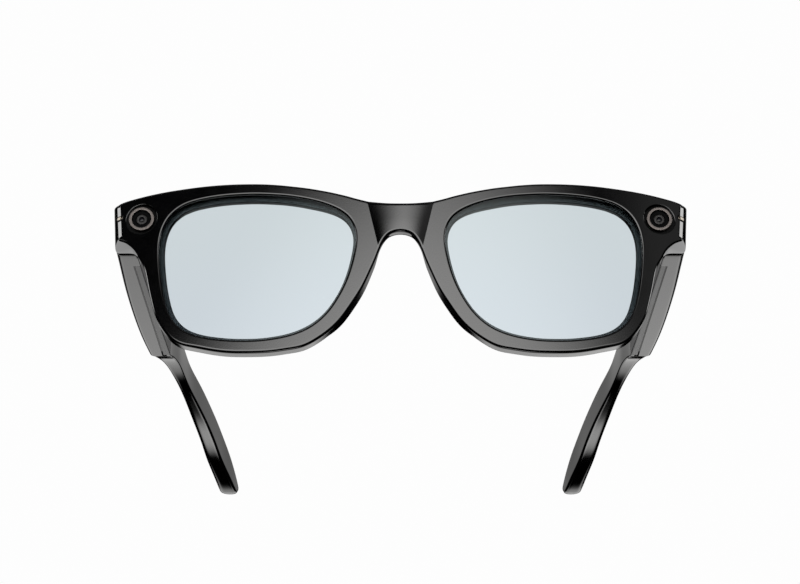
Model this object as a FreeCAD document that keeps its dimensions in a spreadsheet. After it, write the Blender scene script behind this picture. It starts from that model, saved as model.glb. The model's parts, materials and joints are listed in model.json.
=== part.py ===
import FreeCAD, Part
import math
import os
import Sketcher
from FreeCAD import Placement, Rotation, Vector

# Smart glasses: a thick moulded front with two rims, a camera module in each
# upper outer corner, and two folding temples that hold the electronics.
#
# Finished frame: +X towards the wearer's left, +Y towards the ears, +Z up, origin at
# the centre of the middle charging pad's face, on the back of the bridge.
# Design frame, used for all numbers below: same directions, origin on the front of
# the bridge; datum_back and datum_up move it to the finished frame.
# The front is drawn upright in the design frame, then leans by front_tilt.

doc = FreeCAD.newDocument("SmartGlasses")
sheet = doc.addObject("Spreadsheet::Sheet", "Sizes")
sheet.Label = "Sizes"

# Name endings: side = distance from the middle plane, in/out = nearer to or further
# from it, up/low/top = heights, front/back/start/end = places along Y,
# rad/half/long/wide/high/thick = sizes. A text value is a formula on earlier cells.
SIZES = [
    # overall datums
    ("datum_back", 3.6), ("datum_up", 14.2),
    ("front_tilt", 3.0), ("front_radius", 320.0), ("front_thick", 4.0),
    ("blank_half", 76.0), ("blank_low", -26.0), ("blank_high", 56.0),
    # play between a part and its seat or the floor of its hole
    ("seat_gap", 0.03), ("floor_gap", 0.05),
    # bridge and nose pads
    ("bridge_radius", 31.0), ("bridge_half", 8.2), ("bridge_bulge", 1.0), ("bridge_back", 2.0),
    ("nose_root", 2.8), ("nose_flank", 1.2), ("nose_proud", 2.3), ("nose_taper", 0.12),
    # lenses
    ("lens_front", 0.8), ("lens_thick", 1.4), ("lens_inset", 0.5), ("groove_gap", 0.05),
    # camera modules
    ("cam_side", 66.9), ("cam_up", 17.1),
    ("recess_rad", 4.1), ("recess_floor", 7.9), ("bore_rad", 3.35), ("bore_end", 10.6),
    ("bezel_rad", 3.3), ("bezel_hole", 2.45), ("bezel_front", 6.75), ("bezel_long", 1.3),
    ("window_rad", 2.4), ("window_hole", 1.45), ("window_front", 7.15), ("window_thick", 0.6),
    ("barrel_rad", 2.3), ("barrel_front", 7.8), ("barrel_long", 2.1),
    ("core_rad", 1.4), ("core_front", 7.3), ("iris_rad", 0.72), ("iris_deep", 0.5),
    ("sensor_rad", 3.0), ("sensor_front", 9.93), ("sensor_thick", 0.55),
    # corner studs
    ("stud_side", 72.6), ("stud_up", 18.0), ("stud_rad", 0.95),
    ("stud_front", 7.95), ("stud_long", 1.6),
    # end lugs, in line with the temples, and the blocks behind the cameras
    ("lug_in", 67.3), ("lug_out", 73.9), ("lug_low", 10.0), ("lug_top", 21.9),
    ("lug_front", 8.9), ("lug_back", 12.45), ("house_in", 62.9), ("house_low", 12.6),
    # hinge, even above and below screw_up
    ("screw_up", 16.0),
    ("pivot_side", 66.4), ("pivot_back", 14.5), ("knuckle_rad", 1.85),
    ("pin_rad", 0.7), ("pin_gap", 0.03), ("knuckle_gap", 0.05),
    ("hinge_low", 11.8), ("hinge_top", "=2*screw_up-hinge_low"),
    ("mid_low", 13.95), ("mid_top", "=2*screw_up-mid_low"),
    ("leaf_in", 63.8), ("leaf_out", 68.2), ("leaf_front", 11.2), ("web_half", 1.2),
    ("head_gap", 0.02), ("head_rad", 1.2), ("head_high", 0.45),
    ("drive_half", 1.5), ("drive_wide", 0.3), ("drive_deep", 0.2),
    # temple shell and inner cover
    ("temple_start", 12.75), ("temple_in", 68.45), ("temple_low", "=lug_low"), ("temple_top", 21.5),
    ("cover_start", 19.0), ("cover_end", 80.0), ("cover_in", 68.4), ("cover_out", 69.85),
    ("cover_gap", 0.05), ("shell_in", "=cover_out+cover_gap"),
    ("cavity_start", 26.0), ("cavity_end", 78.0), ("cavity_out", 72.9),
    ("cavity_low", 11.4), ("cavity_top", 20.1),
    # temple hinge leaf and its two screws
    ("tleaf_in", 70.1), ("tleaf_out", 71.2), ("tleaf_front", "=pivot_back+0.4"),
    ("tleaf_back", 24.0), ("tleaf_low", 12.6), ("tleaf_top", "=2*screw_up-tleaf_low"),
    ("tweb_back", "=pivot_back+1.8"),
    ("screw_head", 1.0), ("screw_head_high", 0.35), ("screw_rad", 0.6), ("screw_gap", 0.02),
    ("screw_fore", 19.0), ("screw_aft", 22.4),
    # wire way past the hinge leaf, and the flex in it
    ("wire_up", "=screw_up+2.2"), ("wire_high", 0.8), ("flex_high", 0.6),
    # electronics; wall_in is the side of everything mounted on the outer wall
    ("wall_in", "=cavity_out-0.1"),
    ("battery_thick", 2.4), ("battery_start", 27.0), ("battery_long", 20.0),
    ("battery_high", 6.2), ("battery_up", "=screw_up-1"),
    ("board_thick", 0.8), ("board_start", 47.8), ("board_long", 15.0),
    ("board_high", 8.0), ("board_up", "=screw_up-0.2"),
    ("speaker_start", 64.5), ("speaker_long", 12.0), ("speaker_high", 7.0),
    ("speaker_thick", 2.4), ("speaker_up", "=screw_up-0.5"), ("speaker_corner", 1.2),
    ("film_in", "=cavity_out-0.08"), ("film_out", "=cavity_out-0.02"), ("film_half", 3.5),
    # slot in the cover, centred along the speaker
    ("vent_long", 8.0), ("vent_start", "=speaker_start+(speaker_long-vent_long)/2"),
    ("vent_high", 0.8), ("vent_up", 12.6),
    # moving controls
    ("button_start", 34.0), ("button_long", 9.0), ("button_wide", 2.2),
    ("button_high", 1.25), ("button_proud", 0.35), ("button_side", 71.6),
    ("stem_foot", "=cavity_top-0.35"), ("control_gap", 0.08), ("button_travel", 0.3),
    ("slider_start", 28.6), ("slider_long", 3.4), ("slider_high", 1.8),
    ("slider_up", "=screw_up"), ("slider_travel", 1.6),
    # front electronics
    ("pad_rad", 0.9), ("pad_pitch", 2.6), ("pad_long", 1.2),
    ("mic_rad", 1.2), ("mic_side", 6.4), ("mic_up", "=datum_up"), ("mic_front", 2.5),
    ("mic_long", 0.9), ("mesh_front", 3.45), ("mesh_thick", 0.35),
]
for row, (name, value) in enumerate(SIZES, 1):
    sheet.set("A%d" % row, name)
    sheet.set("B%d" % row, str(value))
    sheet.setAlias("B%d" % row, name)
doc.recompute()

SIDES = ((1, "left"), (-1, "right"))
LEAF_SCREWS = (("a", "$screw_fore"), ("b", "$screw_aft"))

# Outline of the front, (x, z), on its +X half; the other half is its mirror image.
BROW = [
    (0, 18.35), (2.2, 18.4), (4.2, 18.55), (6.2, 18.8), (7.8, 19.05), (9.3, 19.4),
    (11.4, 20.0), (13.4, 20.65), (15.5, 21.25), (17.5, 21.8), (19.6, 22.3), (21.7, 22.77),
    (23.7, 23.18), (25.8, 23.55), (27.9, 23.88), (29.9, 24.2), (32.0, 24.48), (34.1, 24.72),
    (36.2, 24.9), (39.3, 25.08), (41.4, 25.17), (44.5, 25.24), (47.7, 25.23), (50.8, 25.14),
    (54.0, 24.96), (57.1, 24.73), (60.3, 24.45), (63.5, 24.07), (66.6, 23.6), (69.8, 23.0),
    (71.9, 22.55)]
CORNER = [(71.9, 22.55), (73.55, 21.85), (74.22, 20.3)]  # arc
SIDE = [(74.22, 20.3), (73.6, 10.8)]  # line
HEEL = [(73.6, 10.8), (73.3, 10.0), (72.5, 9.7)]  # arc
SOLE = [(72.5, 9.7), (69.4, 9.7)]  # line
# round the bottom of the rim and up to the middle of the nose arch
RIM = [
    (69.4, 9.7), (68.1, 9.25), (67.1, 8.0), (66.5, 6.2), (65.9, 4.4), (65.25, 2.3),
    (64.7, 0.0), (64.2, -2.2), (63.1, -6.4), (62.1, -9.6), (60.85, -12.1), (59.3, -14.4),
    (57.5, -16.45), (54.9, -18.1), (51.9, -18.95), (47.1, -20.05), (42.8, -20.63),
    (38.95, -20.85), (35.3, -20.9), (31.7, -20.7), (28.1, -20.2), (24.5, -19.25),
    (20.95, -17.6), (17.7, -15.25), (14.72, -12.25), (12.08, -8.65), (9.55, -4.5),
    (7.36, 0.4), (5.95, 3.9), (4.85, 6.8), (3.9, 8.4), (2.95, 9.4), (1.7, 10.0), (0, 10.25)]
# lens opening (x, z), closed, clockwise with x to the right and z up
OPENING = [
    (12.29, .64), (11.26, 5.33), (11.0, 10.54), (12.84, 15.0), (17.09, 18.1), (21.68, 19.85),
    (25.87, 20.9), (29.64, 21.57), (33.19, 21.98), (36.61, 22.28), (40.04, 22.4), (43.61, 22.4),
    (47.51, 22.2), (51.8, 21.66), (56.34, 20.3), (59.92, 17.33), (61.84, 12.93), (62.26, 7.96),
    (61.83, 3.01), (61.08, -1.79), (59.94, -6.54), (58.0, -11.19), (54.72, -14.6),
    (50.15, -16.65), (45.92, -17.57), (42.11, -18.08), (38.65, -18.28), (35.39, -18.3),
    (32.23, -18.05), (29.08, -17.56), (25.92, -16.7), (22.81, -15.32), (19.97, -13.23),
    (17.51, -10.49), (15.46, -7.23), (13.69, -3.53)]
# nose pad (x, z): up the edge by the nose, then down the edge by the lens
NOSE_PAD = [
    (18.1, -14.7), (15.2, -11.7), (12.6, -8.2), (10.2, -4.1), (8.1, 0.7), (6.9, 4.0),
    (9.6, 4.4), (11.7, 0.4), (13.1, -3.7), (14.8, -7.5), (16.85, -10.8), (19.2, -13.5)]
# bands that follow the brow: front and back depth behind the front face,
# upper and lower drop below the brow line, half length
BROW_BANDS = {
    "cable_channel": (2.4, 5.0, 0.7, 2.1, 60.0),
    "brow_cover": (3.05, 3.95, 0.75, 2.05, 59.9),
    "front_flex": (2.5, 2.7, 0.9, 1.9, 59.5),
}
# temple sections: y, outer side, inner side, low, top
STATIONS = [
    (12.75, 73.85, 68.45, 10.0, 21.5), (30.0, 74.4, 68.42, 10.0, 21.5),
    (43.0, 74.6, 68.4, 10.0, 21.5), (62.0, 74.6, 68.2, 10.0, 21.5),
    (80.0, 74.35, 67.95, 10.0, 21.5), (81.2, 74.1, 67.9, 10.15, 21.5),
    (82.5, 73.5, 67.8, 10.6, 21.5), (84.0, 72.9, 67.65, 11.1, 21.5),
    (87.0, 72.1, 67.3, 11.7, 21.5), (91.0, 71.1, 66.8, 11.9, 21.5),
    (96.0, 70.2, 66.2, 11.7, 21.4), (101.0, 69.3, 65.5, 10.9, 21.0),
    (106.0, 68.1, 64.6, 9.3, 20.1), (112.0, 66.6, 63.2, 6.3, 17.9),
    (118.0, 65.2, 61.4, 3.3, 15.2), (124.0, 63.8, 59.3, -0.2, 11.9),
    (130.0, 62.4, 57.6, -3.5, 8.2), (136.0, 61.2, 56.0, -6.4, 4.5),
    (141.0, 60.1, 54.9, -8.3, 1.2), (145.0, 59.2, 54.2, -9.4, -1.9),
    (147.6, 58.3, 54.0, -9.7, -4.4), (149.2, 57.4, 54.4, -9.4, -6.2)]
# chips: name, thickness, start and end along the board, reach below and above screw_up
CHIPS = (("chip_", 0.9, 2, 8, 3, 3), ("chip_small_", 0.7, 9.5, 13, 1.8, 2))

pieces = []
block_places = {}


# ---------------------------------------------------------------- expressions
# In these texts "$name" stands for a cell of the sheet. In a tool that opens a hole
# or a slot, a bare number added to a limit carries it clear of the solid it cuts.
def size(name):
    return float(getattr(sheet, name))


def bind(obj, **links):
    for prop, text in links.items():
        obj.setExpression(prop, text.replace("$", "Sizes."))


def place(obj, **axes):
    bind(obj, **{"Placement.Base." + axis: text for axis, text in axes.items()})


def mirrored(side, text):
    return text if side > 0 else "-(%s)" % text


def grown(span, gap):
    return "(%s)-(%s)" % (span[0], gap), "(%s)+(%s)" % (span[1], gap)


def around(centre, half):
    return grown((centre, centre), half)


def run(start, length):
    return start, "(%s)+(%s)" % (start, length)


# ---------------------------------------------------------------- solids
def add(kind, name):
    obj = doc.addObject(kind, name)
    obj.Label = name
    return obj


def block(name, side, x_span, y_span, z_span):
    """Box between two limits on each axis, mirrored in x when side is -1."""
    obj = add("Part::Box", name)
    x = x_span[0] if side > 0 else "-(%s)" % x_span[1]
    place(obj, x=x, y=y_span[0], z=z_span[0])
    length, width, height = ["(%s)-(%s)" % (end, start) for start, end in (x_span, y_span, z_span)]
    bind(obj, Length=length, Width=width, Height=height)
    block_places[obj.Name] = y_span[0], z_span[0]
    return obj


AXIS_TURNS = {"X": Rotation(Vector(0, 1, 0), 90), "Y": Rotation(Vector(1, 0, 0), -90),
              "Z": Rotation()}


def cylinder(name, axis, start, radius, height):
    obj = add("Part::Cylinder", name)
    obj.Placement = Placement(Vector(0, 0, 0), AXIS_TURNS[axis])
    place(obj, x=start[0], y=start[1], z=start[2])
    bind(obj, Radius=radius, Height=height)
    return obj


def outward_cylinder(name, side, inner, y, radius, length):
    """Cylinder along X at leaf screw height, from its inner end outwards."""
    x = inner if side > 0 else "-(%s)-(%s)" % (inner, length)
    return cylinder(name, "X", (x, y, "$screw_up"), radius, length)


def feature(name, shape):
    obj = add("Part::Feature", name)
    obj.Shape = shape
    return obj


def fuse(name, items):
    obj = add("Part::MultiFuse", name)
    obj.Shapes = items
    obj.Refine = True
    return obj


def cut(name, base, tools):
    obj = add("Part::Cut", name)
    obj.Base = base
    obj.Tool = tools[0] if len(tools) == 1 else fuse(name + "_tools", tools)
    obj.Refine = True
    return obj


def compound(name, items):
    obj = add("Part::Compound", name)
    obj.Links = items
    return obj


# ---------------------------------------------------------------- finishing
TILT = Rotation(Vector(1, 0, 0), size("front_tilt"))


def finish_square(obj):
    """Finish a piece drawn square to the finished frame."""
    y, z = block_places.get(obj.Name, ("0", "0"))
    place(obj, y="(%s)-$datum_back" % y, z="(%s)-$datum_up" % z)
    pieces.append(obj)


def finish_tilted(obj):
    """Finish a piece drawn in place on the upright front."""
    obj.Placement = Placement(Vector(0, 0, 0), TILT)
    place(obj, y="-$datum_back", z="-$datum_up")
    bind(obj, **{"Placement.Rotation.Angle": "$front_tilt"})
    pieces.append(obj)


def finish_at(obj, side, x, y, z):
    """Finish a piece drawn at its own origin, which goes to x, y, z of the upright front."""
    obj.Placement = Placement(Vector(0, 0, 0), TILT)
    cosine, sine = "cos($front_tilt*1 deg)", "sin($front_tilt*1 deg)"
    place(obj, x=mirrored(side, x),
          y="(%s)*%s-(%s)*%s-$datum_back" % (y, cosine, z, sine),
          z="(%s)*%s+(%s)*%s-$datum_up" % (y, sine, z, cosine))
    bind(obj, **{"Placement.Rotation.Angle": "$front_tilt"})
    pieces.append(obj)


def untilt(obj):
    """Turn back a solid of the upright front, so that it ends square after the tilt."""
    obj.Placement = Placement(Vector(0, 0, 0), Rotation(Vector(1, 0, 0), -size("front_tilt")))
    return obj


# ---------------------------------------------------------------- sketches
def new_sketch(body, name, role, lift=0.0):
    """Sketch on an origin plane, lifted along that plane's normal."""
    sketch = body.newObject("Sketcher::SketchObject", name)
    plane = next(item for item in body.Origin.OriginFeatures if item.Role == role)
    sketch.AttachmentSupport = [(plane, "")]
    sketch.MapMode = "FlatFace"
    sketch.AttachmentOffset = Placement(Vector(0, 0, lift), Rotation())
    return sketch


def sketch_circle(sketch, radius_name):
    radius = size(radius_name)
    circle = sketch.addGeometry(Part.Circle(Vector(0, 0, 0), Vector(0, 0, 1), radius), False)
    limit = sketch.addConstraint(Sketcher.Constraint("Radius", circle, radius))
    sketch.setExpression("Constraints[%d]" % limit, "Sizes." + radius_name)
    sketch.addConstraint(Sketcher.Constraint("Coincident", circle, 3, -1, 1))


def sketch_line(sketch, *points):
    return sketch.addGeometry(Part.LineSegment(*[Vector(x, y, 0) for x, y in points]), False)


def sketch_arc(sketch, *points):
    sketch.addGeometry(Part.Arc(*[Vector(x, y, 0) for x, y in points]), False)


def sketch_rectangle(sketch, x_low, y_low, x_high, y_high):
    corners = [(x_low, y_low), (x_high, y_low), (x_high, y_high), (x_low, y_high)]
    lines = [sketch_line(sketch, corners[i], corners[(i + 1) % 4]) for i in range(4)]
    for i in range(4):
        sketch.addConstraint(Sketcher.Constraint("Coincident", lines[i], 2, lines[(i + 1) % 4], 1))
    for direction, i in (("Horizontal", 0), ("Horizontal", 2), ("Vertical", 1), ("Vertical", 3)):
        sketch.addConstraint(Sketcher.Constraint(direction, lines[i]))


def extrude(body, kind, sketch, name, length, reverse=False):
    """Pad or pocket of a sketch."""
    step = body.newObject("PartDesign::" + kind, name)
    step.Profile = sketch
    bind(step, Length=length)
    step.Reversed = reverse
    sketch.Visibility = False
    body.Tip = step


def disc_body(name, radius_name, length, hole_name=None):
    """Disc or ring with its front face at the origin, running towards +Y."""
    body = add("PartDesign::Body", name)
    sketch = new_sketch(body, name + "_sketch", "XZ_Plane")
    sketch_circle(sketch, radius_name)
    if hole_name:
        sketch_circle(sketch, hole_name)
    extrude(body, "Pad", sketch, name + "_pad", length, reverse=True)
    doc.recompute()
    return body


# ---------------------------------------------------------------- curves and layers
def spline(points, closed=False):
    curve = Part.BSplineCurve()
    curve.interpolate(Points=points, PeriodicFlag=closed)
    return curve


def lens_face(grow, side):
    """The lens opening as a face, moved outwards by grow."""
    points = []
    for i, (x, z) in enumerate(OPENING):
        x_before, z_before = OPENING[i - 1]
        x_after, z_after = OPENING[(i + 1) % len(OPENING)]
        run_x, run_z = x_after - x_before, z_after - z_before
        reach = math.hypot(run_x, run_z)
        points.append(Vector(side * (x - run_z / reach * grow), 0, z + run_x / reach * grow))
    return Part.Face(Part.Wire([spline(points, True).toShape()]))


def curved_layer(front, back, face):
    """A face in the XZ plane made solid between two depths of the curved front."""
    radius = size("front_radius")
    start = face.copy()
    start.translate(Vector(0, -10, 0))
    prism = start.extrude(Vector(0, 40, 0))
    outer, inner = [Part.makeCylinder(radius - depth, 120, Vector(0, radius, -60), Vector(0, 0, 1))
                    for depth in (front, back)]
    return prism.common(outer.cut(inner))


def brow_height(x):
    (x_low, z_low), (x_high, z_high) = next(
        pair for pair in zip(BROW, BROW[1:]) if abs(x) <= pair[1][0])
    share = (abs(x) - x_low) / (x_high - x_low)
    return z_low + share * (z_high - z_low)


def brow_band(name):
    front, back, top_drop, low_drop, half = BROW_BANDS[name]
    places = [-half + 2.0 * half * i / 48 for i in range(49)]

    def edge(drop):
        return spline([Vector(x, 0, brow_height(x) - drop) for x in places]).toShape()

    def end(x):
        return Part.LineSegment(Vector(x, 0, brow_height(x) - top_drop),
                                Vector(x, 0, brow_height(x) - low_drop)).toShape()

    edges = [edge(top_drop), end(half), edge(low_drop), end(-half)]
    face = Part.Face(Part.Wire(Part.__sortEdges__(edges)))
    return feature(name, curved_layer(front, back, face))


# ---------------------------------------------------------------- front shell
def draw_slab_plan(sketch):
    """Curved strip seen from above: two concentric arcs joined at the ends."""
    radius, half = size("front_radius"), size("blank_half")

    def point(arc_radius, x):
        return x, radius - math.sqrt(arc_radius * arc_radius - x * x)

    front = [point(radius, x) for x in (-half, 0, half)]
    back = [point(radius - size("front_thick"), x) for x in (half, 0, -half)]
    sketch_arc(sketch, *front)
    sketch_line(sketch, front[2], back[0])
    sketch_arc(sketch, *back)
    sketch_line(sketch, back[2], front[0])


def draw_bridge_plan(sketch):
    """Forward bulge: a shallow arc closed by a straight-sided back."""
    half, radius, bulge = size("bridge_half"), size("bridge_radius"), size("bridge_bulge")
    back = size("bridge_back")
    edge = radius - bulge - math.sqrt(radius ** 2 - half * half)
    sketch_arc(sketch, (-half, edge), (0, -bulge), (half, edge))
    sketch_line(sketch, (half, edge), (half, back))
    sketch_line(sketch, (half, back), (-half, back))
    sketch_line(sketch, (-half, back), (-half, edge))


def draw_outline(sketch):
    """Both halves of the front's outline as one closed loop."""
    brow = [(-x, z) for x, z in reversed(BROW[1:])] + BROW
    rim = RIM[:-1] + [(-x, z) for x, z in reversed(RIM)]
    sketch.addGeometry(spline([Vector(x, z, 0) for x, z in brow]), False)
    for side, tag in SIDES:
        for draw, points in ((sketch_arc, CORNER), (sketch_line, SIDE),
                             (sketch_arc, HEEL), (sketch_line, SOLE)):
            draw(sketch, *[(side * x, z) for x, z in points])
    sketch.addGeometry(spline([Vector(x, z, 0) for x, z in rim]), False)


def front_blank():
    """Curved slab with the bridge bulge, trimmed to the outline."""
    body = add("PartDesign::Body", "front_blank")
    plan = new_sketch(body, "front_slab_plan", "XY_Plane", size("blank_low"))
    draw_slab_plan(plan)
    doc.recompute()
    extrude(body, "Pad", plan, "front_slab_pad", "$blank_high")
    doc.recompute()
    slab_volume = body.Shape.Volume

    bridge = new_sketch(body, "bridge_plan", "XY_Plane", size("blank_low"))
    draw_bridge_plan(bridge)
    doc.recompute()
    extrude(body, "Pad", bridge, "bridge_pad", "$blank_high")
    doc.recompute()
    if not body.Shape.Volume > slab_volume + 100:
        raise RuntimeError("bridge bulge added nothing")

    # the XZ plane faces -Y, so this sketch lies 10 in front of the bridge
    trim = new_sketch(body, "front_trim", "XZ_Plane", 10.0)
    sketch_rectangle(trim, -90, -40, 90, 45)
    draw_outline(trim)
    extrude(body, "Pocket", trim, "front_trim_cut", "40")
    doc.recompute()
    if not body.Shape.Volume < slab_volume * 0.8:
        raise RuntimeError("front trim removed nothing")
    return body


def nose_swell(side):
    """Nose pad: a tapered swelling on the back of the rim."""
    centre_x = sum(x for x, z in NOSE_PAD) / len(NOSE_PAD)
    centre_z = sum(z for x, z in NOSE_PAD) / len(NOSE_PAD)
    thick = size("front_thick")
    rings = []
    for depth, shrink in ((size("nose_root"), 0.0), (thick + size("nose_flank"), 0.0),
                          (thick + size("nose_proud"), size("nose_taper"))):
        points = [Vector(side * (x + (centre_x - x) * shrink), depth, z + (centre_z - z) * shrink)
                  for x, z in NOSE_PAD]
        rings.append(Part.makePolygon(points + [points[0]]))
    return Part.makeLoft(rings, True, True)


def end_lug(side, tag):
    depth = ("$lug_front", "$lug_back")
    lug = block("lug_block_" + tag, side, ("$lug_in", "$lug_out"), depth, ("$lug_low", "$lug_top"))
    house = block("camera_house_" + tag, side, ("$house_in", "$lug_in+2"), depth,
                  ("$house_low", "$lug_top"))
    return untilt(fuse("lug_" + tag, [lug, house]))


def front_side_tools(side, tag):
    """Lens groove and opening, camera and stud holes, hinge leaf slot."""
    front, gap = size("lens_front"), size("groove_gap")
    groove = curved_layer(front - gap, front + size("lens_thick") + gap,
                          lens_face(size("lens_inset") + gap, side))
    camera = (mirrored(side, "$cam_side"), "0", "$cam_up")
    stud = (mirrored(side, "$stud_side"), "$stud_front", "$stud_up")
    tools = [
        feature("lens_groove_" + tag, groove),
        feature("lens_clear_" + tag, curved_layer(-2.0, 16.0, lens_face(0.0, side))),
        cylinder("camera_recess_" + tag, "Y", camera, "$recess_rad", "$recess_floor"),
        cylinder("camera_bore_" + tag, "Y", camera, "$bore_rad", "$bore_end"),
        cylinder("stud_hole_" + tag, "Y", stud, "$stud_rad+$seat_gap", "$stud_long+$seat_gap"),
    ]
    slot = block("leaf_slot_" + tag, side, grown(("$leaf_in", "$leaf_out"), "$seat_gap"),
                 ("$leaf_front-$seat_gap", "$lug_back+1"),
                 grown(("$hinge_low", "$hinge_top"), "$seat_gap"))
    tools.append(untilt(compound("leaf_slot_turn_" + tag, [slot])))
    return tools


def make_front_shell():
    solids = [front_blank()]
    tools = []
    for side, tag in SIDES:
        solids.append(end_lug(side, tag))
        solids.append(feature("nose_swell_" + tag, nose_swell(side)))
        tools += front_side_tools(side, tag)
    # channel along the brow, open to the back
    tools.append(brow_band("cable_channel"))
    for i in (-1, 0, 1):
        hole = cylinder("contact_hole_%d" % (i + 2), "Y",
                        ("%d*$pad_pitch" % i, "$datum_back-$pad_long-$floor_gap", "$datum_up"),
                        "$pad_rad+$seat_gap", "3")
        tools.append(untilt(compound("contact_hole_turn_%d" % (i + 2), [hole])))
    tools.append(cylinder("microphone_hole", "Y", ("$mic_side", "$mic_front-$floor_gap", "$mic_up"),
                          "$mic_rad+$seat_gap", "3"))
    doc.recompute()
    front_sum = fuse("front_sum", solids)
    finish_tilted(cut("front_shell", front_sum, [fuse("front_tools", tools)]))
    doc.recompute()


# ---------------------------------------------------------------- front pieces
def make_lens(side, tag):
    front = size("lens_front")
    shape = curved_layer(front, front + size("lens_thick"), lens_face(size("lens_inset"), side))
    finish_tilted(feature("lens_" + tag, shape))


def make_barrel(side, tag):
    """Camera barrel with a narrower nose forward of it, sunk by the iris."""
    barrel = disc_body("camera_barrel_" + tag, "barrel_rad", "$barrel_long")
    nose = new_sketch(barrel, "barrel_nose_" + tag, "XZ_Plane")
    sketch_circle(nose, "core_rad")
    extrude(barrel, "Pad", nose, "barrel_nose_pad_" + tag, "$barrel_front-$core_front")
    iris = new_sketch(barrel, "barrel_iris_" + tag, "XZ_Plane",
                      size("barrel_front") - size("core_front"))
    sketch_circle(iris, "iris_rad")
    doc.recompute()
    solid_volume = barrel.Shape.Volume
    extrude(barrel, "Pocket", iris, "barrel_iris_cut_" + tag, "$iris_deep")
    doc.recompute()
    if not barrel.Shape.Volume < solid_volume - 0.3:
        raise RuntimeError("iris removed nothing")
    finish_at(barrel, side, "$cam_side", "$barrel_front", "$cam_up")


def make_camera(side, tag):
    for name, radius_name, hole_name, front, length in (
            ("camera_bezel_", "bezel_rad", "bezel_hole", "$bezel_front", "$bezel_long"),
            ("camera_window_", "window_rad", "window_hole", "$window_front", "$window_thick"),
            ("camera_board_", "sensor_rad", None, "$sensor_front", "$sensor_thick")):
        disc = disc_body(name + tag, radius_name, length, hole_name)
        finish_at(disc, side, "$cam_side", front, "$cam_up")
    make_barrel(side, tag)


def make_front_hinge(side, tag):
    """Leaf with a lower and an upper knuckle."""
    pivot = mirrored(side, "$pivot_side")
    low = ("$hinge_low", "$mid_low-$knuckle_gap")
    top = ("$mid_top+$knuckle_gap", "$hinge_top")
    solids = [block("fh_leaf_" + tag, side, ("$leaf_in", "$leaf_out"),
                    ("$leaf_front", "$lug_back"), ("$hinge_low", "$hinge_top"))]
    for name, (start, end) in (("fh_low_", low), ("fh_top_", top)):
        solids.append(cylinder(name + tag, "Z", (pivot, "$pivot_back", start),
                               "$knuckle_rad", "(%s)-(%s)" % (end, start)))
    for name, span in (("fh_web_low_", low), ("fh_web_top_", top)):
        solids.append(block(name + tag, side, around("$pivot_side", "$web_half"),
                            ("$lug_back-0.5", "$pivot_back"), span))
    hole = cylinder("fh_hole_" + tag, "Z", (pivot, "$pivot_back", "$hinge_low-1"),
                    "$pin_rad+$pin_gap", "12")
    finish_square(cut("front_hinge_" + tag, fuse("fh_sum_" + tag, solids), [hole]))


def make_hinge_screw(side, tag):
    pivot = mirrored(side, "$pivot_side")
    shank = cylinder("hs_shank_" + tag, "Z", (pivot, "$pivot_back", "$hinge_low"),
                     "$pin_rad", "$hinge_top-$hinge_low+$head_gap")
    head = cylinder("hs_head_" + tag, "Z", (pivot, "$pivot_back", "$hinge_top+$head_gap"),
                    "$head_rad", "$head_high")
    drive = block("hs_slot_" + tag, side, around("$pivot_side", "$drive_half"),
                  around("$pivot_back", "$drive_wide/2"),
                  run("$hinge_top+$head_gap+$head_high-$drive_deep", "1"))
    finish_square(cut("hinge_screw_" + tag, fuse("hs_sum_" + tag, [shank, head]), [drive]))


def make_charge_contacts():
    pads = [cylinder("charge_pad_%d" % (i + 2), "Y",
                     ("%d*$pad_pitch" % i, "$datum_back-$pad_long", "$datum_up"),
                     "$pad_rad", "$pad_long") for i in (-1, 0, 1)]
    finish_square(compound("charge_contacts", pads))


def make_bridge_microphone():
    microphone = disc_body("bridge_microphone", "mic_rad", "$mic_long")
    finish_at(microphone, 1, "$mic_side", "$mic_front", "$mic_up")
    mesh = disc_body("microphone_mesh", "mic_rad", "$mesh_thick")
    finish_at(mesh, 1, "$mic_side", "$mesh_front", "$mic_up")


# ---------------------------------------------------------------- temples
THROUGH_HEIGHT = ("$temple_low-1", "$temple_top+1")


def temple_solid(side):
    rings = []
    for y, outer, inner, low, top in STATIONS:
        corners = ((outer, low), (outer, top), (inner, top), (inner, low), (outer, low))
        rings.append(Part.makePolygon([Vector(side * x, y, z) for x, z in corners]))
    return Part.makeLoft(rings, True, True)


def make_temple_shell(side, tag):
    blank = feature("temple_blank_" + tag, temple_solid(side))
    tools = [
        # opening for the inner cover, through the inner face and both edges
        block("cover_seat_" + tag, side, ("$cover_in-3", "$shell_in"),
              grown(("$cover_start", "$cover_end"), "$cover_gap"), THROUGH_HEIGHT),
        block("cavity_" + tag, side, ("$shell_in-1", "$cavity_out"),
              ("$cavity_start", "$cavity_end"), ("$cavity_low", "$cavity_top")),
        block("tleaf_seat_" + tag, side, ("$shell_in-1", "$tleaf_out+$seat_gap"),
              grown(("$tleaf_front", "$tleaf_back"), "$seat_gap"),
              grown(("$tleaf_low", "$tleaf_top"), "$seat_gap")),
        block("tweb_seat_" + tag, side, ("$temple_in-2", "$tleaf_in+0.5"),
              grown(("$tleaf_front", "$tweb_back"), "$seat_gap"),
              grown(("$mid_low", "$mid_top"), "$seat_gap")),
        block("wire_way_" + tag, side, ("$tleaf_out-0.2", "$tleaf_out+0.9"),
              ("$temple_start-1", "$cavity_start+1"), around("$wire_up", "$wire_high/2")),
    ]
    for letter, y in LEAF_SCREWS:
        tools.append(outward_cylinder("screw_hole_%s_%s" % (letter, tag), side,
                                      "$tleaf_out-0.5", y, "$screw_rad+$screw_gap", "1.9"))
    if side < 0:
        tools.append(block("button_well", side,
                           grown(around("$button_side", "$button_wide/2"), "$control_gap"),
                           grown(run("$button_start", "$button_long"), "$control_gap"),
                           ("$cavity_top-0.5", "$temple_top+1")))
    finish_square(cut("temple_shell_" + tag, blank, tools))


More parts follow.
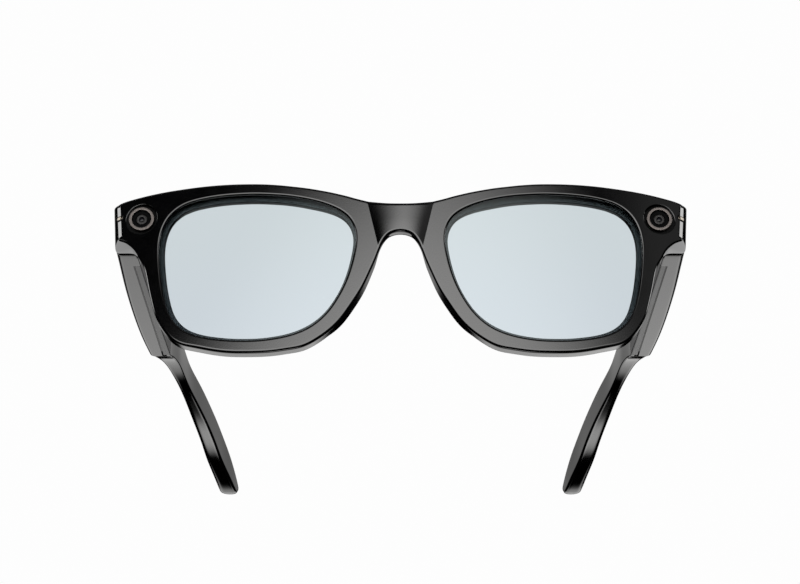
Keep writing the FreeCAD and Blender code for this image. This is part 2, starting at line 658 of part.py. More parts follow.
def make_temple_cover(side, tag):
    """Slice of the temple solid on its inner side, with its slots."""
    blank = feature("cover_blank_" + tag, temple_solid(side))
    room = block("cover_room_" + tag, side, ("$cover_in-3", "$cover_out"),
                 ("$cover_start", "$cover_end"), THROUGH_HEIGHT)
    common = add("Part::Common", "cover_common_" + tag)
    common.Base = blank
    common.Tool = room
    common.Refine = True
    through = ("$cover_in-3", "$cover_out+1")
    tools = [block("vent_" + tag, side, through, run("$vent_start", "$vent_long"),
                   run("$vent_up", "$vent_high"))]
    if side > 0:
        tools.append(block("slider_slot", side, through,
                           grown(run("$slider_start", "$slider_long+$slider_travel"),
                                 "$control_gap"),
                           grown(around("$slider_up", "$slider_high/2"), "$control_gap")))
    finish_square(cut("temple_cover_" + tag, common, tools))


def make_temple_hinge(side, tag):
    """Leaf with the centre knuckle, bored for the pin and sunk for two screws."""
    pivot = mirrored(side, "$pivot_side")
    knuckle = cylinder("th_knuckle_" + tag, "Z", (pivot, "$pivot_back", "$mid_low"),
                       "$knuckle_rad", "$mid_top-$mid_low")
    web = block("th_web_" + tag, side, ("$pivot_side", "$tleaf_in+0.5"),
                ("$tleaf_front", "$tweb_back"), ("$mid_low", "$mid_top"))
    leaf = block("th_leaf_" + tag, side, ("$tleaf_in", "$tleaf_out"),
                 ("$tleaf_front", "$tleaf_back"), ("$tleaf_low", "$tleaf_top"))
    tools = [cylinder("th_hole_" + tag, "Z", (pivot, "$pivot_back", "$mid_low-1"),
                      "$pin_rad+$pin_gap", "7")]
    for letter, y in LEAF_SCREWS:
        tools.append(outward_cylinder("th_screw_%s_%s" % (letter, tag), side,
                                      "$tleaf_in-0.5", y, "$screw_rad+$screw_gap", "2.5"))
        tools.append(outward_cylinder("th_sink_%s_%s" % (letter, tag), side,
                                      "$tleaf_in-0.5", y, "$screw_head+$screw_gap",
                                      "0.5+$screw_head_high+$screw_gap"))
    finish_square(cut("temple_hinge_" + tag, fuse("th_sum_" + tag, [knuckle, web, leaf]), tools))


def make_leaf_screws(side, tag):
    screws = []
    for letter, y in LEAF_SCREWS:
        name = "%s_%s" % (letter, tag)
        head = outward_cylinder("ls_head_" + name, side, "$tleaf_in", y,
                                "$screw_head", "$screw_head_high")
        shank = outward_cylinder("ls_shank_" + name, side, "$tleaf_in+0.3", y, "$screw_rad", "2")
        screws.append(fuse("leaf_screw_" + name, [head, shank]))
    finish_square(compound("leaf_screws_" + tag, screws))


# ---------------------------------------------------------------- temple electronics
def make_main_board(side, tag):
    solids = [block("pcb_" + tag, side, ("$wall_in-$board_thick", "$wall_in"),
                    run("$board_start", "$board_long"), around("$board_up", "$board_high/2"))]
    for name, thick, start, end, below, above in CHIPS:
        solids.append(block(name + tag, side,
                            ("$wall_in-$board_thick-%s" % thick, "$wall_in-$board_thick"),
                            ("$board_start+%s" % start, "$board_start+%s" % end),
                            ("$screw_up-%s" % below, "$screw_up+%s" % above)))
    finish_square(fuse("main_board_" + tag, solids))


def make_speaker(side, tag):
    """Can with the four edges along X rounded."""
    can = block("speaker_can_" + tag, side, ("$wall_in-$speaker_thick", "$wall_in"),
                run("$speaker_start", "$speaker_long"), around("$speaker_up", "$speaker_high/2"))
    speaker = add("Part::Fillet", "speaker_" + tag)
    speaker.Base = can
    doc.recompute()
    radius = size("speaker_corner")
    rounded = []
    for i, edge in enumerate(can.Shape.Edges, 1):
        direction = (edge.Vertexes[1].Point - edge.Vertexes[0].Point).normalize()
        if abs(abs(direction.x) - 1) < 1e-6:
            rounded.append((i, radius, radius))
    speaker.Edges = rounded
    finish_square(speaker)


def make_temple_electronics(side, tag):
    finish_square(block("battery_" + tag, side, ("$wall_in-$battery_thick", "$wall_in"),
                        run("$battery_start", "$battery_long"),
                        around("$battery_up", "$battery_high/2")))
    make_main_board(side, tag)
    make_speaker(side, tag)
    finish_square(block("speaker_mesh_" + tag, side, ("$shell_in+0.02", "$shell_in+0.22"),
                        grown(run("$vent_start", "$vent_long"), "0.6"),
                        grown(run("$vent_up", "$vent_high"), "0.5")))
    finish_square(block("temple_flex_" + tag, side, ("$tleaf_out+0.2", "$tleaf_out+0.4"),
                        ("$temple_start+0.5", "$cavity_start+0.5"),
                        around("$wire_up", "$flex_high/2")))
    finish_square(block("temple_microphone_" + tag, side, ("$cavity_out-2.6", "$cavity_out-0.6"),
                        ("$speaker_start+2", "$speaker_start+5.5"),
                        ("$cavity_top-0.95", "$cavity_top-0.1")))


def make_film(name, side):
    """Thin film close to the cavity's outer wall."""
    finish_square(block(name, side, ("$film_in", "$film_out"),
                        ("$board_start-4", "$speaker_start+10"),
                        around("$screw_up", "$film_half")))


def make_capture_button():
    """Button on top of the right temple, with the switch under its stem."""
    middle = "$button_start+$button_long/2"
    stem = block("button_stem", -1, around("$button_side", "0.5"), around(middle, "1"),
                 ("$stem_foot", "$temple_top-0.4"))
    cap = block("button_cap", -1, around("$button_side", "$button_wide/2"),
                run("$button_start", "$button_long"),
                ("$temple_top+$button_proud-$button_high+0.15", "$temple_top+$button_proud"))
    finish_square(fuse("capture_button", [stem, cap]))
    finish_square(block("button_switch", -1, around("$button_side", "0.9"), around(middle, "1.6"),
                        ("$cavity_top-1.9", "$stem_foot-$button_travel-0.05")))


def make_power_slider():
    """Slider through the left cover, with the slide switch on the cover's outer side."""
    finish_square(block("power_slider", 1, ("$cover_in-0.25", "$cover_out+0.15"),
                        run("$slider_start", "$slider_long"),
                        around("$slider_up", "$slider_high/2")))
    finish_square(block("slide_switch", 1, ("$cover_out+0.2", "$cover_out+0.42"),
                        grown(run("$slider_start", "$slider_long+$slider_travel"), "0.8"),
                        around("$slider_up", "1.6")))


# ---------------------------------------------------------------- assembly
make_front_shell()
for band in ("brow_cover", "front_flex"):
    finish_tilted(brow_band(band))
for side, tag in SIDES:
    make_lens(side, tag)
    make_camera(side, tag)
    finish_at(disc_body("corner_stud_" + tag, "stud_rad", "$stud_long"),
              side, "$stud_side", "$stud_front", "$stud_up")
    make_front_hinge(side, tag)
    make_hinge_screw(side, tag)
make_charge_contacts()
make_bridge_microphone()
doc.recompute()

for side, tag in SIDES:
    make_temple_shell(side, tag)
    make_temple_cover(side, tag)
    make_temple_hinge(side, tag)
    make_leaf_screws(side, tag)
    make_temple_electronics(side, tag)
make_film("touch_sensor", -1)
make_capture_button()
make_film("antenna", 1)
make_power_slider()
doc.recompute()

# ---------------------------------------------------------------- state check and files
problems = []
for obj in doc.Objects:
    for state in obj.State:
        if state in ("Invalid", "Error"):
            problems.append(obj.Name + " " + state)
for piece in pieces:
    if piece.Shape.isNull() or not piece.Shape.isValid():
        problems.append(piece.Label + " shape")
    elif not piece.Shape.Solids:
        problems.append(piece.Label + " has no solid")
if problems:
    raise RuntimeError("; ".join(problems))
os.makedirs("parts", exist_ok=True)
for piece in pieces:
    piece.Shape.exportStep("parts/%s.step" % piece.Label)
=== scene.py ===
"""Glasses with a camera in each end piece: front, lenses, cameras, temples, studio and view.

x runs across (positive on the wearer's left), y runs back from the front, z runs up.
Shapes are drawn in millimetres from the fit frame's origin. The front's parts are drawn
square to the front and then leaned, top forward, by leaned(); the rest goes through upright().
"""
import json
import math
from collections import Counter
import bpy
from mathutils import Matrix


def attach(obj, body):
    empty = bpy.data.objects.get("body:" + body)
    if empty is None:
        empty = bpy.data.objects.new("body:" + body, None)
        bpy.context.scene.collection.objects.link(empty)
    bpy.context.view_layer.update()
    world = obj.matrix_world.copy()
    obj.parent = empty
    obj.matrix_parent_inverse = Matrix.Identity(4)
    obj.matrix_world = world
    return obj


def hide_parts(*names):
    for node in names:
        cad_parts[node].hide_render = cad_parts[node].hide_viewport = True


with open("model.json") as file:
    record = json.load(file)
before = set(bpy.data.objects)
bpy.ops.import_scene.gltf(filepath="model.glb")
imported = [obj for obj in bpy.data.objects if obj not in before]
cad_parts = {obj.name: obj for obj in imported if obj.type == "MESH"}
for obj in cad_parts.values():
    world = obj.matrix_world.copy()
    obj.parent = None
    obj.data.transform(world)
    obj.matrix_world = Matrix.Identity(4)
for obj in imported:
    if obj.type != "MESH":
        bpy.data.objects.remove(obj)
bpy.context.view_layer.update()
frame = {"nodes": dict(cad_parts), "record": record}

from types import SimpleNamespace

import bmesh
import bpy
import numpy as np
from mathutils import Vector

MM = 0.001
DATUM = np.array([0.0, 3.6, 14.2])    # the point that becomes the scene's origin
LEAN = math.radians(3.0)
LEAN_COS, LEAN_SIN = math.cos(LEAN), math.sin(LEAN)
SIDES = ((1, "left"), (-1, "right"))

# The front
FRONT_RADIUS = 320.0                  # its face is part of an upright cylinder
THICKNESS = 4.0
CREASE_TOP_X, CREASE_BOTTOM_X = 8.2, 5.05    # ends of the crease beside the bridge
EDGE = 0.62                           # rounding of the front edge
BRIDGE_REAR_RADIUS = 3.2              # rear rounding under the middle of the bridge
CAMERA_X, CAMERA_Z = 66.9, 17.1
RECESS_RADIUS, RECESS_FLOOR = 4.1, 7.9
LUG_BACK = 12.40                      # y of the end piece's upright rear face

# Mesh resolution
STEP = 0.05                           # spacing of dense curves
OUTLINE_COUNT, CREASE_COUNT = 460, 26
EDGE_STEPS, WALL_STEPS, REAR_STEPS = 10, 12, 7
CREASE_FRACTIONS = np.linspace(0, 1, CREASE_COUNT + 2)

# Material slots of the front
BLACK, GROOVE, LIP, RECESS, SOLE = range(5)

# ------------------------------------------------------------------ outlines of the front
# (x, z), walked clockwise from the middle of the brow on the +x half
BROW = [
    (0, 18.06), (2.2, 18.12), (4.2, 18.32), (6.2, 18.66), (7.8, 19.0), (9.3, 19.4),
    (11.4, 20.0), (13.4, 20.65), (15.5, 21.25), (17.5, 21.8), (19.6, 22.3), (21.7, 22.77),
    (23.7, 23.18), (25.8, 23.55), (27.9, 23.88), (29.9, 24.2), (32.0, 24.48), (34.1, 24.72),
    (36.2, 24.9), (39.3, 25.08), (41.4, 25.17), (44.5, 25.24), (47.7, 25.23), (50.8, 25.14),
    (54.0, 24.96), (57.1, 24.73), (60.3, 24.45), (63.5, 24.07), (66.6, 23.6), (69.8, 23.0),
    (71.9, 22.5), (72.9, 22.15)]
CORNER = [BROW[-1], (73.58, 21.68), (73.82, 20.9)]       # three points of an arc
HEEL = [(72.98, 12.4), (72.78, 11.82), (72.25, 11.5)]    # three points of an arc
# underside of the end piece, then round the lens to the middle of the bridge
LOWER = [
    (72.25, 11.5), (71.1, 11.0), (69.9, 10.15), (69.05, 9.35), (68.3, 8.45), (67.65, 7.35),
    (67.05, 6.2), (66.45, 5.2), (65.85, 4.0), (65.25, 2.3), (64.7, 0.0), (64.2, -2.2),
    (63.1, -6.4), (62.1, -9.6), (60.85, -12.1), (59.3, -14.4), (57.5, -16.45), (54.9, -18.1),
    (51.9, -19.0), (47.1, -20.2), (42.8, -20.92), (38.95, -21.18), (35.3, -21.27),
    (31.65, -21.15), (27.95, -20.72), (24.15, -20.0), (20.6, -18.15), (17.3, -15.63),
    (14.45, -12.5), (12.0, -8.72), (9.55, -4.5), (7.36, 0.4), (5.95, 3.9), (4.85, 6.8),
    (3.9, 8.4), (2.95, 9.4), (1.7, 10.0), (0, 10.25)]
LENS_OPENING = [
    (12.29, 0.64), (11.26, 5.33), (11.0, 10.54), (12.84, 15.0), (17.09, 18.1), (21.68, 19.85),
    (25.87, 20.9), (29.64, 21.57), (33.19, 21.98), (36.61, 22.28), (40.04, 22.4),
    (43.61, 22.4), (47.51, 22.2), (51.8, 21.66), (56.34, 20.3), (59.92, 17.33),
    (61.84, 12.93), (62.26, 7.96), (61.83, 3.01), (61.08, -1.79), (59.94, -6.54),
    (58.0, -11.19), (54.72, -14.6), (50.15, -16.65), (45.92, -17.57), (42.11, -18.08),
    (38.65, -18.28), (35.39, -18.3), (32.23, -18.05), (29.08, -17.56), (25.92, -16.7),
    (22.81, -15.32), (19.97, -13.23), (17.51, -10.49), (15.46, -7.23), (13.69, -3.53)]

# (point near the front outline, shift in x and z of the back outline there)
BACK_SHIFTS = [
    ((70.2, 22.93), (0.0, 0.0)), ((71.5, 22.62), (0.6, -0.06)), ((72.5, 22.3), (1.25, -0.02)),
    ((73.2, 21.98), (1.5, 0.35)), ((73.62, 21.6), (1.4, 0.6)), ((73.82, 20.9), (1.22, 0.8)),
    ((73.8, 20.3), (1.2, 0.45)), ((73.7, 19.7), (1.2, 0.15)), ((73.4, 16.6), (1.16, -0.55)),
    ((72.98, 12.4), (1.15, -1.5)), ((72.78, 11.82), (1.0, -1.9)),
    ((72.25, 11.5), (0.75, -1.8)), ((71.1, 11.0), (0.35, -1.3)), ((69.9, 10.15), (0.15, -0.45)),
    ((69.05, 9.35), (0.15, 0.2)), ((68.3, 8.45), (0.1, 0.5)), ((67.65, 7.35), (-0.1, 0.65)),
    ((67.05, 6.2), (-0.25, 0.5)), ((66.45, 5.2), (-0.2, 0.2)), ((65.85, 4.0), (0.0, 0.0))]

# (outline point, opening point) pairs that steer the mesh across the rim
MESH_PAIRS = [
    ((8.2, 19.1), (12.0, 13.6)), ((13.4, 20.65), (15.0, 16.8)), ((21.7, 22.8), (21.9, 19.95)),
    ((32, 24.5), (32, 21.85)), ((44.5, 25.24), (43.6, 22.4)), ((57.1, 24.73), (53, 21.3)),
    ((66.6, 23.6), (57.5, 19.6)), ((73.3, 22.0), (60.0, 17.2)), ((73.6, 18), (61.4, 14.4)),
    ((73.1, 13.5), (62.05, 11.9)), ((72.6, 11.6), (62.2, 10.6)), ((71.1, 11.0), (62.27, 9.8)),
    ((69.4, 9.7), (62.28, 8.8)), ((67.65, 7.35), (62.25, 7.0)), ((65.85, 4.0), (61.9, 3.6)),
    ((64.2, -2.2), (60.9, -2.5)), ((62.1, -9.6), (59.0, -8.9)), ((59.3, -14.4), (56.6, -13.0)),
    ((54.9, -18.1), (53.2, -15.5)), ((47.1, -20.05), (46.6, -17.4)),
    ((38.95, -20.85), (38.8, -18.28)), ((31.7, -20.7), (32.4, -18.06)),
    ((24.5, -19.25), (26.2, -16.8)), ((17.7, -15.25), (20.3, -13.5)),
    ((12.08, -8.65), (15.2, -6.8)), ((9.55, -4.5), (13.3, -2.6)), ((7.36, 0.4), (12.2, 1.0)),
    ((5.95, 3.9), (11.55, 4.0)), ((5.05, 6.5), (11.2, 5.9))]

# (x, z) ridge along which the back swells beside the nose
NOSE_LINE = np.array([(18.6, -15.6), (15.4, -12.2), (12.8, -8.4), (10.3, -4.3), (8.3, 0.2),
                      (7.0, 4.0)])


# ------------------------------------------------------------------ places and curves
def leaned(points):
    """Metres in the scene, from millimetres square to the front."""
    x, y, z = np.moveaxis(np.asarray(points, float), -1, 0)
    turned = np.stack([x, y * LEAN_COS - z * LEAN_SIN, z * LEAN_COS + y * LEAN_SIN], -1)
    return (turned - DATUM) * MM


def upright(points):
    """Metres in the scene, from millimetres in the fit frame."""
    return (np.asarray(points, float) - DATUM) * MM


def smoothstep(low, high, value):
    t = np.clip((np.asarray(value, float) - low) / (high - low), 0, 1)
    return t * t * (3 - 2 * t)


def mix(first, second, t):
    return first * (1 - t) + second * t


def unit(vectors):
    return vectors / np.linalg.norm(vectors, axis=1)[:, None]


def arc_lengths(points):
    return np.concatenate([[0], np.cumsum(np.linalg.norm(np.diff(points, axis=0), axis=1))])


def sample(values, lengths, at):
    """Rows of values, given at lengths, read off at other lengths."""
    return np.array([np.interp(at, lengths, column) for column in values.T]).T


def nearest_length(points, lengths, target):
    return lengths[np.argmin(((points - np.array(target)) ** 2).sum(1))]


def spline(points, closed=False, step=STEP):
    """Dense samples of a cubic spline through the points."""
    points = np.array(points, float)
    if closed:
        points = np.vstack([points[-4:], points, points[:4]])
    knots = arc_lengths(points)
    gaps = np.diff(knots)
    count = len(points)
    matrix = np.zeros((count, count))
    target = np.zeros((count, points.shape[1]))
    matrix[0, 0] = matrix[-1, -1] = 1
    for i in range(1, count - 1):
        matrix[i, i - 1:i + 2] = gaps[i - 1], 2 * (gaps[i - 1] + gaps[i]), gaps[i]
        target[i] = 6 * ((points[i + 1] - points[i]) / gaps[i]
                         - (points[i] - points[i - 1]) / gaps[i - 1])
    bend = np.linalg.solve(matrix, target)
    first, last = (knots[4], knots[-4]) if closed else (knots[0], knots[-1])
    at = np.linspace(first, last, max(8, int((last - first) / step)), endpoint=not closed)
    i = np.clip(np.searchsorted(knots, at, side="right") - 1, 0, count - 2)
    ahead = (knots[i + 1] - at)[:, None]
    behind = (at - knots[i])[:, None]
    gap = gaps[i][:, None]
    return ((bend[i] * ahead ** 3 + bend[i + 1] * behind ** 3) / (6 * gap)
            + (points[i] / gap - bend[i] * gap / 6) * ahead
            + (points[i + 1] / gap - bend[i + 1] * gap / 6) * behind)


def monotone(knots, values, at):
    """Cubic interpolation that keeps rising where the values rise."""
    gaps = np.diff(knots)
    rise = np.diff(values) / gaps
    left = 2 * gaps[1:] + gaps[:-1]
    right = gaps[1:] + 2 * gaps[:-1]
    middle = (left + right) / (left / rise[:-1] + right / rise[1:])
    slope = np.concatenate([rise[:1], middle, rise[-1:]])
    i = np.clip(np.searchsorted(knots, at, side="right") - 1, 0, len(knots) - 2)
    t = (at - knots[i]) / gaps[i]
    return (values[i] * (1 + 2 * t) * (1 - t) ** 2 + slope[i] * gaps[i] * t * (1 - t) ** 2
            + values[i + 1] * t ** 2 * (3 - 2 * t)
            + slope[i + 1] * gaps[i] * t ** 2 * (t - 1))


def arc_through(points):
    """Samples of the circular arc through three points."""
    (ax, az), (bx, bz), (cx, cz) = points
    a_square, b_square, c_square = [x ** 2 + z ** 2 for x, z in points]
    scale = 2 * (ax * (bz - cz) + bx * (cz - az) + cx * (az - bz))
    x = (a_square * (bz - cz) + b_square * (cz - az) + c_square * (az - bz)) / scale
    z = (a_square * (cx - bx) + b_square * (ax - cx) + c_square * (bx - ax)) / scale
    radius = math.hypot(ax - x, az - z)
    start, _, end = np.unwrap([math.atan2(pz - z, px - x) for px, pz in points])
    turns = np.linspace(start, end, max(6, int(abs(end - start) * radius / STEP)))
    return np.c_[x + radius * np.cos(turns), z + radius * np.sin(turns)]


def straight(start, end):
    count = max(2, int(math.dist(start, end) / STEP))
    return mix(np.array(start, float), np.array(end, float), np.linspace(0, 1, count)[:, None])


def gaussian_blur(padded, reach, step, sigma):
    kernel = np.exp(-0.5 * (np.arange(-reach, reach + 1) * step / sigma) ** 2)
    kernel /= kernel.sum()
    return np.array([np.convolve(column, kernel, "valid") for column in padded.T]).T


def smoothed(points, sigma, step=STEP):
    """Gaussian smoothing of an evenly sampled line; its ends stay put."""
    reach = int(3 * sigma / step)
    before = 2 * points[0] - points[reach:0:-1]
    after = 2 * points[-1] - points[-2:-reach - 2:-1]
    return gaussian_blur(np.vstack([before, points, after]), reach, step, sigma)


def evened(values, sigma, step):
    """Gaussian smoothing of numbers or vectors; the end values carry on outwards."""
    reach = int(4 * sigma / step) + 1
    columns = values.reshape(len(values), -1)
    padded = np.pad(columns, ((reach, reach), (0, 0)), mode="edge")
    return gaussian_blur(padded, reach, step, sigma).reshape(values.shape)


def left_normals(points, closed=False):
    """Unit normals on the left of the walking direction: outward when walked clockwise."""
    if closed:
        along = np.roll(points, -1, 0) - np.roll(points, 1, 0)
    else:
        along = np.gradient(points, axis=0)
    along = unit(along)
    return np.c_[-along[:, 1], along[:, 0]]


def quarter_arc(across, up, radius, start, steps):
    """Points of a quarter circle about (across, up), from a start angle in degrees."""
    turns = [math.radians(start + 90 * k / steps) for k in range(steps + 1)]
    return np.array([(across + radius * math.cos(turn), up + radius * math.sin(turn))
                     for turn in turns])


def mirrored(points):
    return [(-x, z) for x, z in reversed(points)]


def half_outline():
    """Outline of the +x half, from the top of the crease round to its lower end."""
    lower = LOWER_CURVE[:len(LOWER_CURVE) // 2 + 1]
    past_crease = (lower[:, 0] < CREASE_BOTTOM_X) & (lower[:, 1] > 0)
    line = np.vstack([
        BROW_CURVE[BROW_CURVE[:, 0] >= CREASE_TOP_X],
        arc_through(CORNER)[1:],
        straight(CORNER[-1], HEEL[0])[1:],
        arc_through(HEEL)[1:],
        lower[1:np.argmax(past_crease)]])
    lengths = arc_lengths(line)
    return smoothed(sample(line, lengths, np.arange(0, lengths[-1], STEP)), 0.22)


BROW_CURVE = spline(mirrored(BROW[1:]) + BROW)
LOWER_CURVE = spline(LOWER[:-1] + mirrored(LOWER))
OUTLINE = half_outline()
OUTLINE_LENGTHS = arc_lengths(OUTLINE)

opening_points = spline(LENS_OPENING, closed=True)
opening_normals = left_normals(opening_points, closed=True)
OPENING = np.vstack([opening_points, opening_points[:1]])
OPENING_OUT = np.vstack([opening_normals, opening_normals[:1]])
OPENING_LENGTHS = arc_lengths(OPENING)
AROUND = OPENING_LENGTHS[-1]

# Lengths of the mesh pairs: along the outline, and round the opening from the first pair
PAIR_OUTLINE = np.array([nearest_length(OUTLINE, OUTLINE_LENGTHS, point)
                         for point, _ in MESH_PAIRS])
PAIR_OUTLINE[0], PAIR_OUTLINE[-1] = 0, OUTLINE_LENGTHS[-1]
pair_opening = np.array([nearest_length(OPENING[:-1], OPENING_LENGTHS[:-1], point)
                         for _, point in MESH_PAIRS])
OPENING_START = pair_opening[0]
PAIR_OPENING = (pair_opening - OPENING_START) % AROUND


# ------------------------------------------------------------------ surfaces of the front
def sag(x):
    """y of the front face at x."""
    return FRONT_RADIUS - np.sqrt(FRONT_RADIUS ** 2 - np.asarray(x) ** 2)


def nose_swell(x, z):
    points = np.stack([x, z], -1)
    closest = np.full(len(points), 1e9)
    along = np.zeros(len(points))
    lengths = arc_lengths(NOSE_LINE)
    for start, end, length in zip(NOSE_LINE, NOSE_LINE[1:], lengths):
        run = end - start
        t = np.clip(((points - start) @ run) / (run @ run), 0, 1)
        distance = np.linalg.norm(points - (start + t[:, None] * run), axis=-1)
        nearer = distance < closest
        closest = np.where(nearer, distance, closest)
        along = np.where(nearer, (length + t * math.sqrt(run @ run)) / lengths[-1], along)
    height = 2.3 * np.sin(np.clip(along, 0, 1) * np.pi) ** 0.9
    return height * (1 - 0.72 * smoothstep(0.3, 3.9, closest))


def y_rear(x, z):
    """y of the back: parallel to the face, swollen at the nose, upright on the end piece."""
    base = FRONT_RADIUS - np.sqrt((FRONT_RADIUS - THICKNESS) ** 2 - x ** 2) + nose_swell(x, z)
    lug_back = (LUG_BACK + z * LEAN_SIN) / LEAN_COS
    lug_bottom = 12.4 - 4.6 * smoothstep(67.4, 68.6, x)
    lug = smoothstep(62.5, 63.2, x) * smoothstep(lug_bottom - 0.7, lug_bottom + 0.1, z)
    return base + np.maximum(lug_back - base, 0) * lug


# ------------------------------------------------------------------ mesh helpers
def make_object(name, verts, faces, sharp_degrees=None, materials=None):
    """A welded mesh object; with sharp_degrees it is smooth with sharp edges, else flat."""
    mesh = bpy.data.meshes.new(name)
    mesh.from_pydata(verts.tolist(), [], [tuple(int(i) for i in face) for face in faces])
    if materials is not None:
        mesh.polygons.foreach_set("material_index", np.array(materials, np.int32))
    mesh.validate()
    piece = bpy.data.objects.new(name, mesh)
    bpy.context.scene.collection.objects.link(piece)
    work = bmesh.new()
    work.from_mesh(mesh)
    bmesh.ops.remove_doubles(work, verts=work.verts, dist=2e-7)
    bmesh.ops.dissolve_degenerate(work, edges=work.edges, dist=1e-7)
    bmesh.ops.recalc_face_normals(work, faces=work.faces)
    shade(work, sharp_degrees)
    work.to_mesh(mesh)
    work.free()
    mesh.update()
    return piece


def shade(work, sharp_degrees):
    for face in work.faces:
        face.smooth = sharp_degrees is not None
    if sharp_degrees is None:
        return
    limit = math.radians(sharp_degrees)
    for edge in work.edges:
        if len(edge.link_faces) == 2 and edge.calc_face_angle(0) > limit:
            edge.smooth = False


def grid_faces(rows, columns, close_rows=False, close_columns=True):
    faces = []
    for row in range(rows if close_rows else rows - 1):
        start, after = row * columns, (row + 1) % rows * columns
        for i in range(columns if close_columns else columns - 1):
            j = (i + 1) % columns
            faces.append((start + i, start + j, after + j, after + i))
    return faces


def tube_faces(rows, columns):
    """A row of rings joined into a tube, with both ends capped."""
    first_cap = tuple(range(columns - 1, -1, -1))
    last_cap = tuple((rows - 1) * columns + i for i in range(columns))
    return grid_faces(rows, columns) + [first_cap, last_cap]


def vertex_places(mesh):
    places = np.empty(len(mesh.vertices) * 3)
    mesh.vertices.foreach_get("co", places)
    return places.reshape(-1, 3)


def add_bevel(piece, width):
    bevel = piece.modifiers.new("edge", "BEVEL")
    bevel.width = width * MM
    bevel.segments = 2
    bevel.limit_method = "ANGLE"
    bevel.angle_limit = math.radians(40)


# ------------------------------------------------------------------ front shell
def rim_samples():
    """Points round the half's outline, with the shape of the edge at each one."""
    x, z = OUTLINE.T
    # closer together near the camera's corner
    density = 1.0 + 0.9 * smoothstep(56, 62, x) * smoothstep(6, 9, z)
    steps = 0.5 * (density[1:] + density[:-1]) * np.diff(OUTLINE_LENGTHS)
    weight = np.concatenate([[0], np.cumsum(steps)])
    lengths = np.interp(np.linspace(0, weight[-1], OUTLINE_COUNT), weight, OUTLINE_LENGTHS)
    points = sample(OUTLINE, OUTLINE_LENGTHS, lengths)
    outward = unit(sample(left_normals(OUTLINE), OUTLINE_LENGTHS, lengths))
    spacing = (lengths[-1] - lengths[0]) / (OUTLINE_COUNT - 1)

    # a rounding nearly everywhere, a flat facet down the outer side
    x, z = points.T
    side = ((x > 72.2) & (z > 12.2) & (z < 21.9)).astype(float)
    under = ((x > 66.0) & (z < 12.2) & (z > 5.0)).astype(float)
    low = (1 - smoothstep(-12.0, -6.0, z)) * (1 - smoothstep(50, 56, x))
    width = EDGE + 0.40 * side - 0.10 * under + 0.12 * low
    inset = evened(outward * width[:, None], 0.42, spacing)
    inset[[0, -1]] = outward[[0, -1]] * EDGE
    depth = (EDGE + 0.20 * evened(side, 0.5, spacing) - 0.10 * evened(under, 0.6, spacing)
             + 0.15 * low)
    beside_bridge = (1 - smoothstep(4.5, 12.0, x)) * smoothstep(2.0, 6.0, z)
    rear_radius = (0.5 + 2.2 * beside_bridge * (1 - smoothstep(10, 14, z))
                   + 0.3 * (1 - smoothstep(-6.0, 0.0, z)))

    stations = [nearest_length(OUTLINE, OUTLINE_LENGTHS, point) for point, _ in BACK_SHIFTS]
    shifts = np.array([shift for _, shift in BACK_SHIFTS])
    back_shift = np.array([np.interp(lengths, stations, column, left=0, right=0)
                           for column in shifts.T]).T
    back_shift = evened(back_shift, 0.35, spacing)
    back_shift[[0, -1]] = 0
    rear_outward = evened(outward, 0.5, spacing)
    rear_outward[[0, -1]] = outward[[0, -1]]
    return SimpleNamespace(
        lengths=lengths, points=points, outward=outward, inset=inset, depth=depth,
        facet=evened(side, 0.12, spacing), rear=points + back_shift,
        rear_outward=unit(rear_outward), rear_radius=rear_radius)


def crease_line(rim, top_inset, bottom_inset):
    """The straight crease, from its lower end up, both ends included."""
    top = rim.points[0] - rim.outward[0] * top_inset
    bottom = rim.points[-1] - rim.outward[-1] * bottom_inset
    return mix(bottom, top, CREASE_FRACTIONS[:, None])


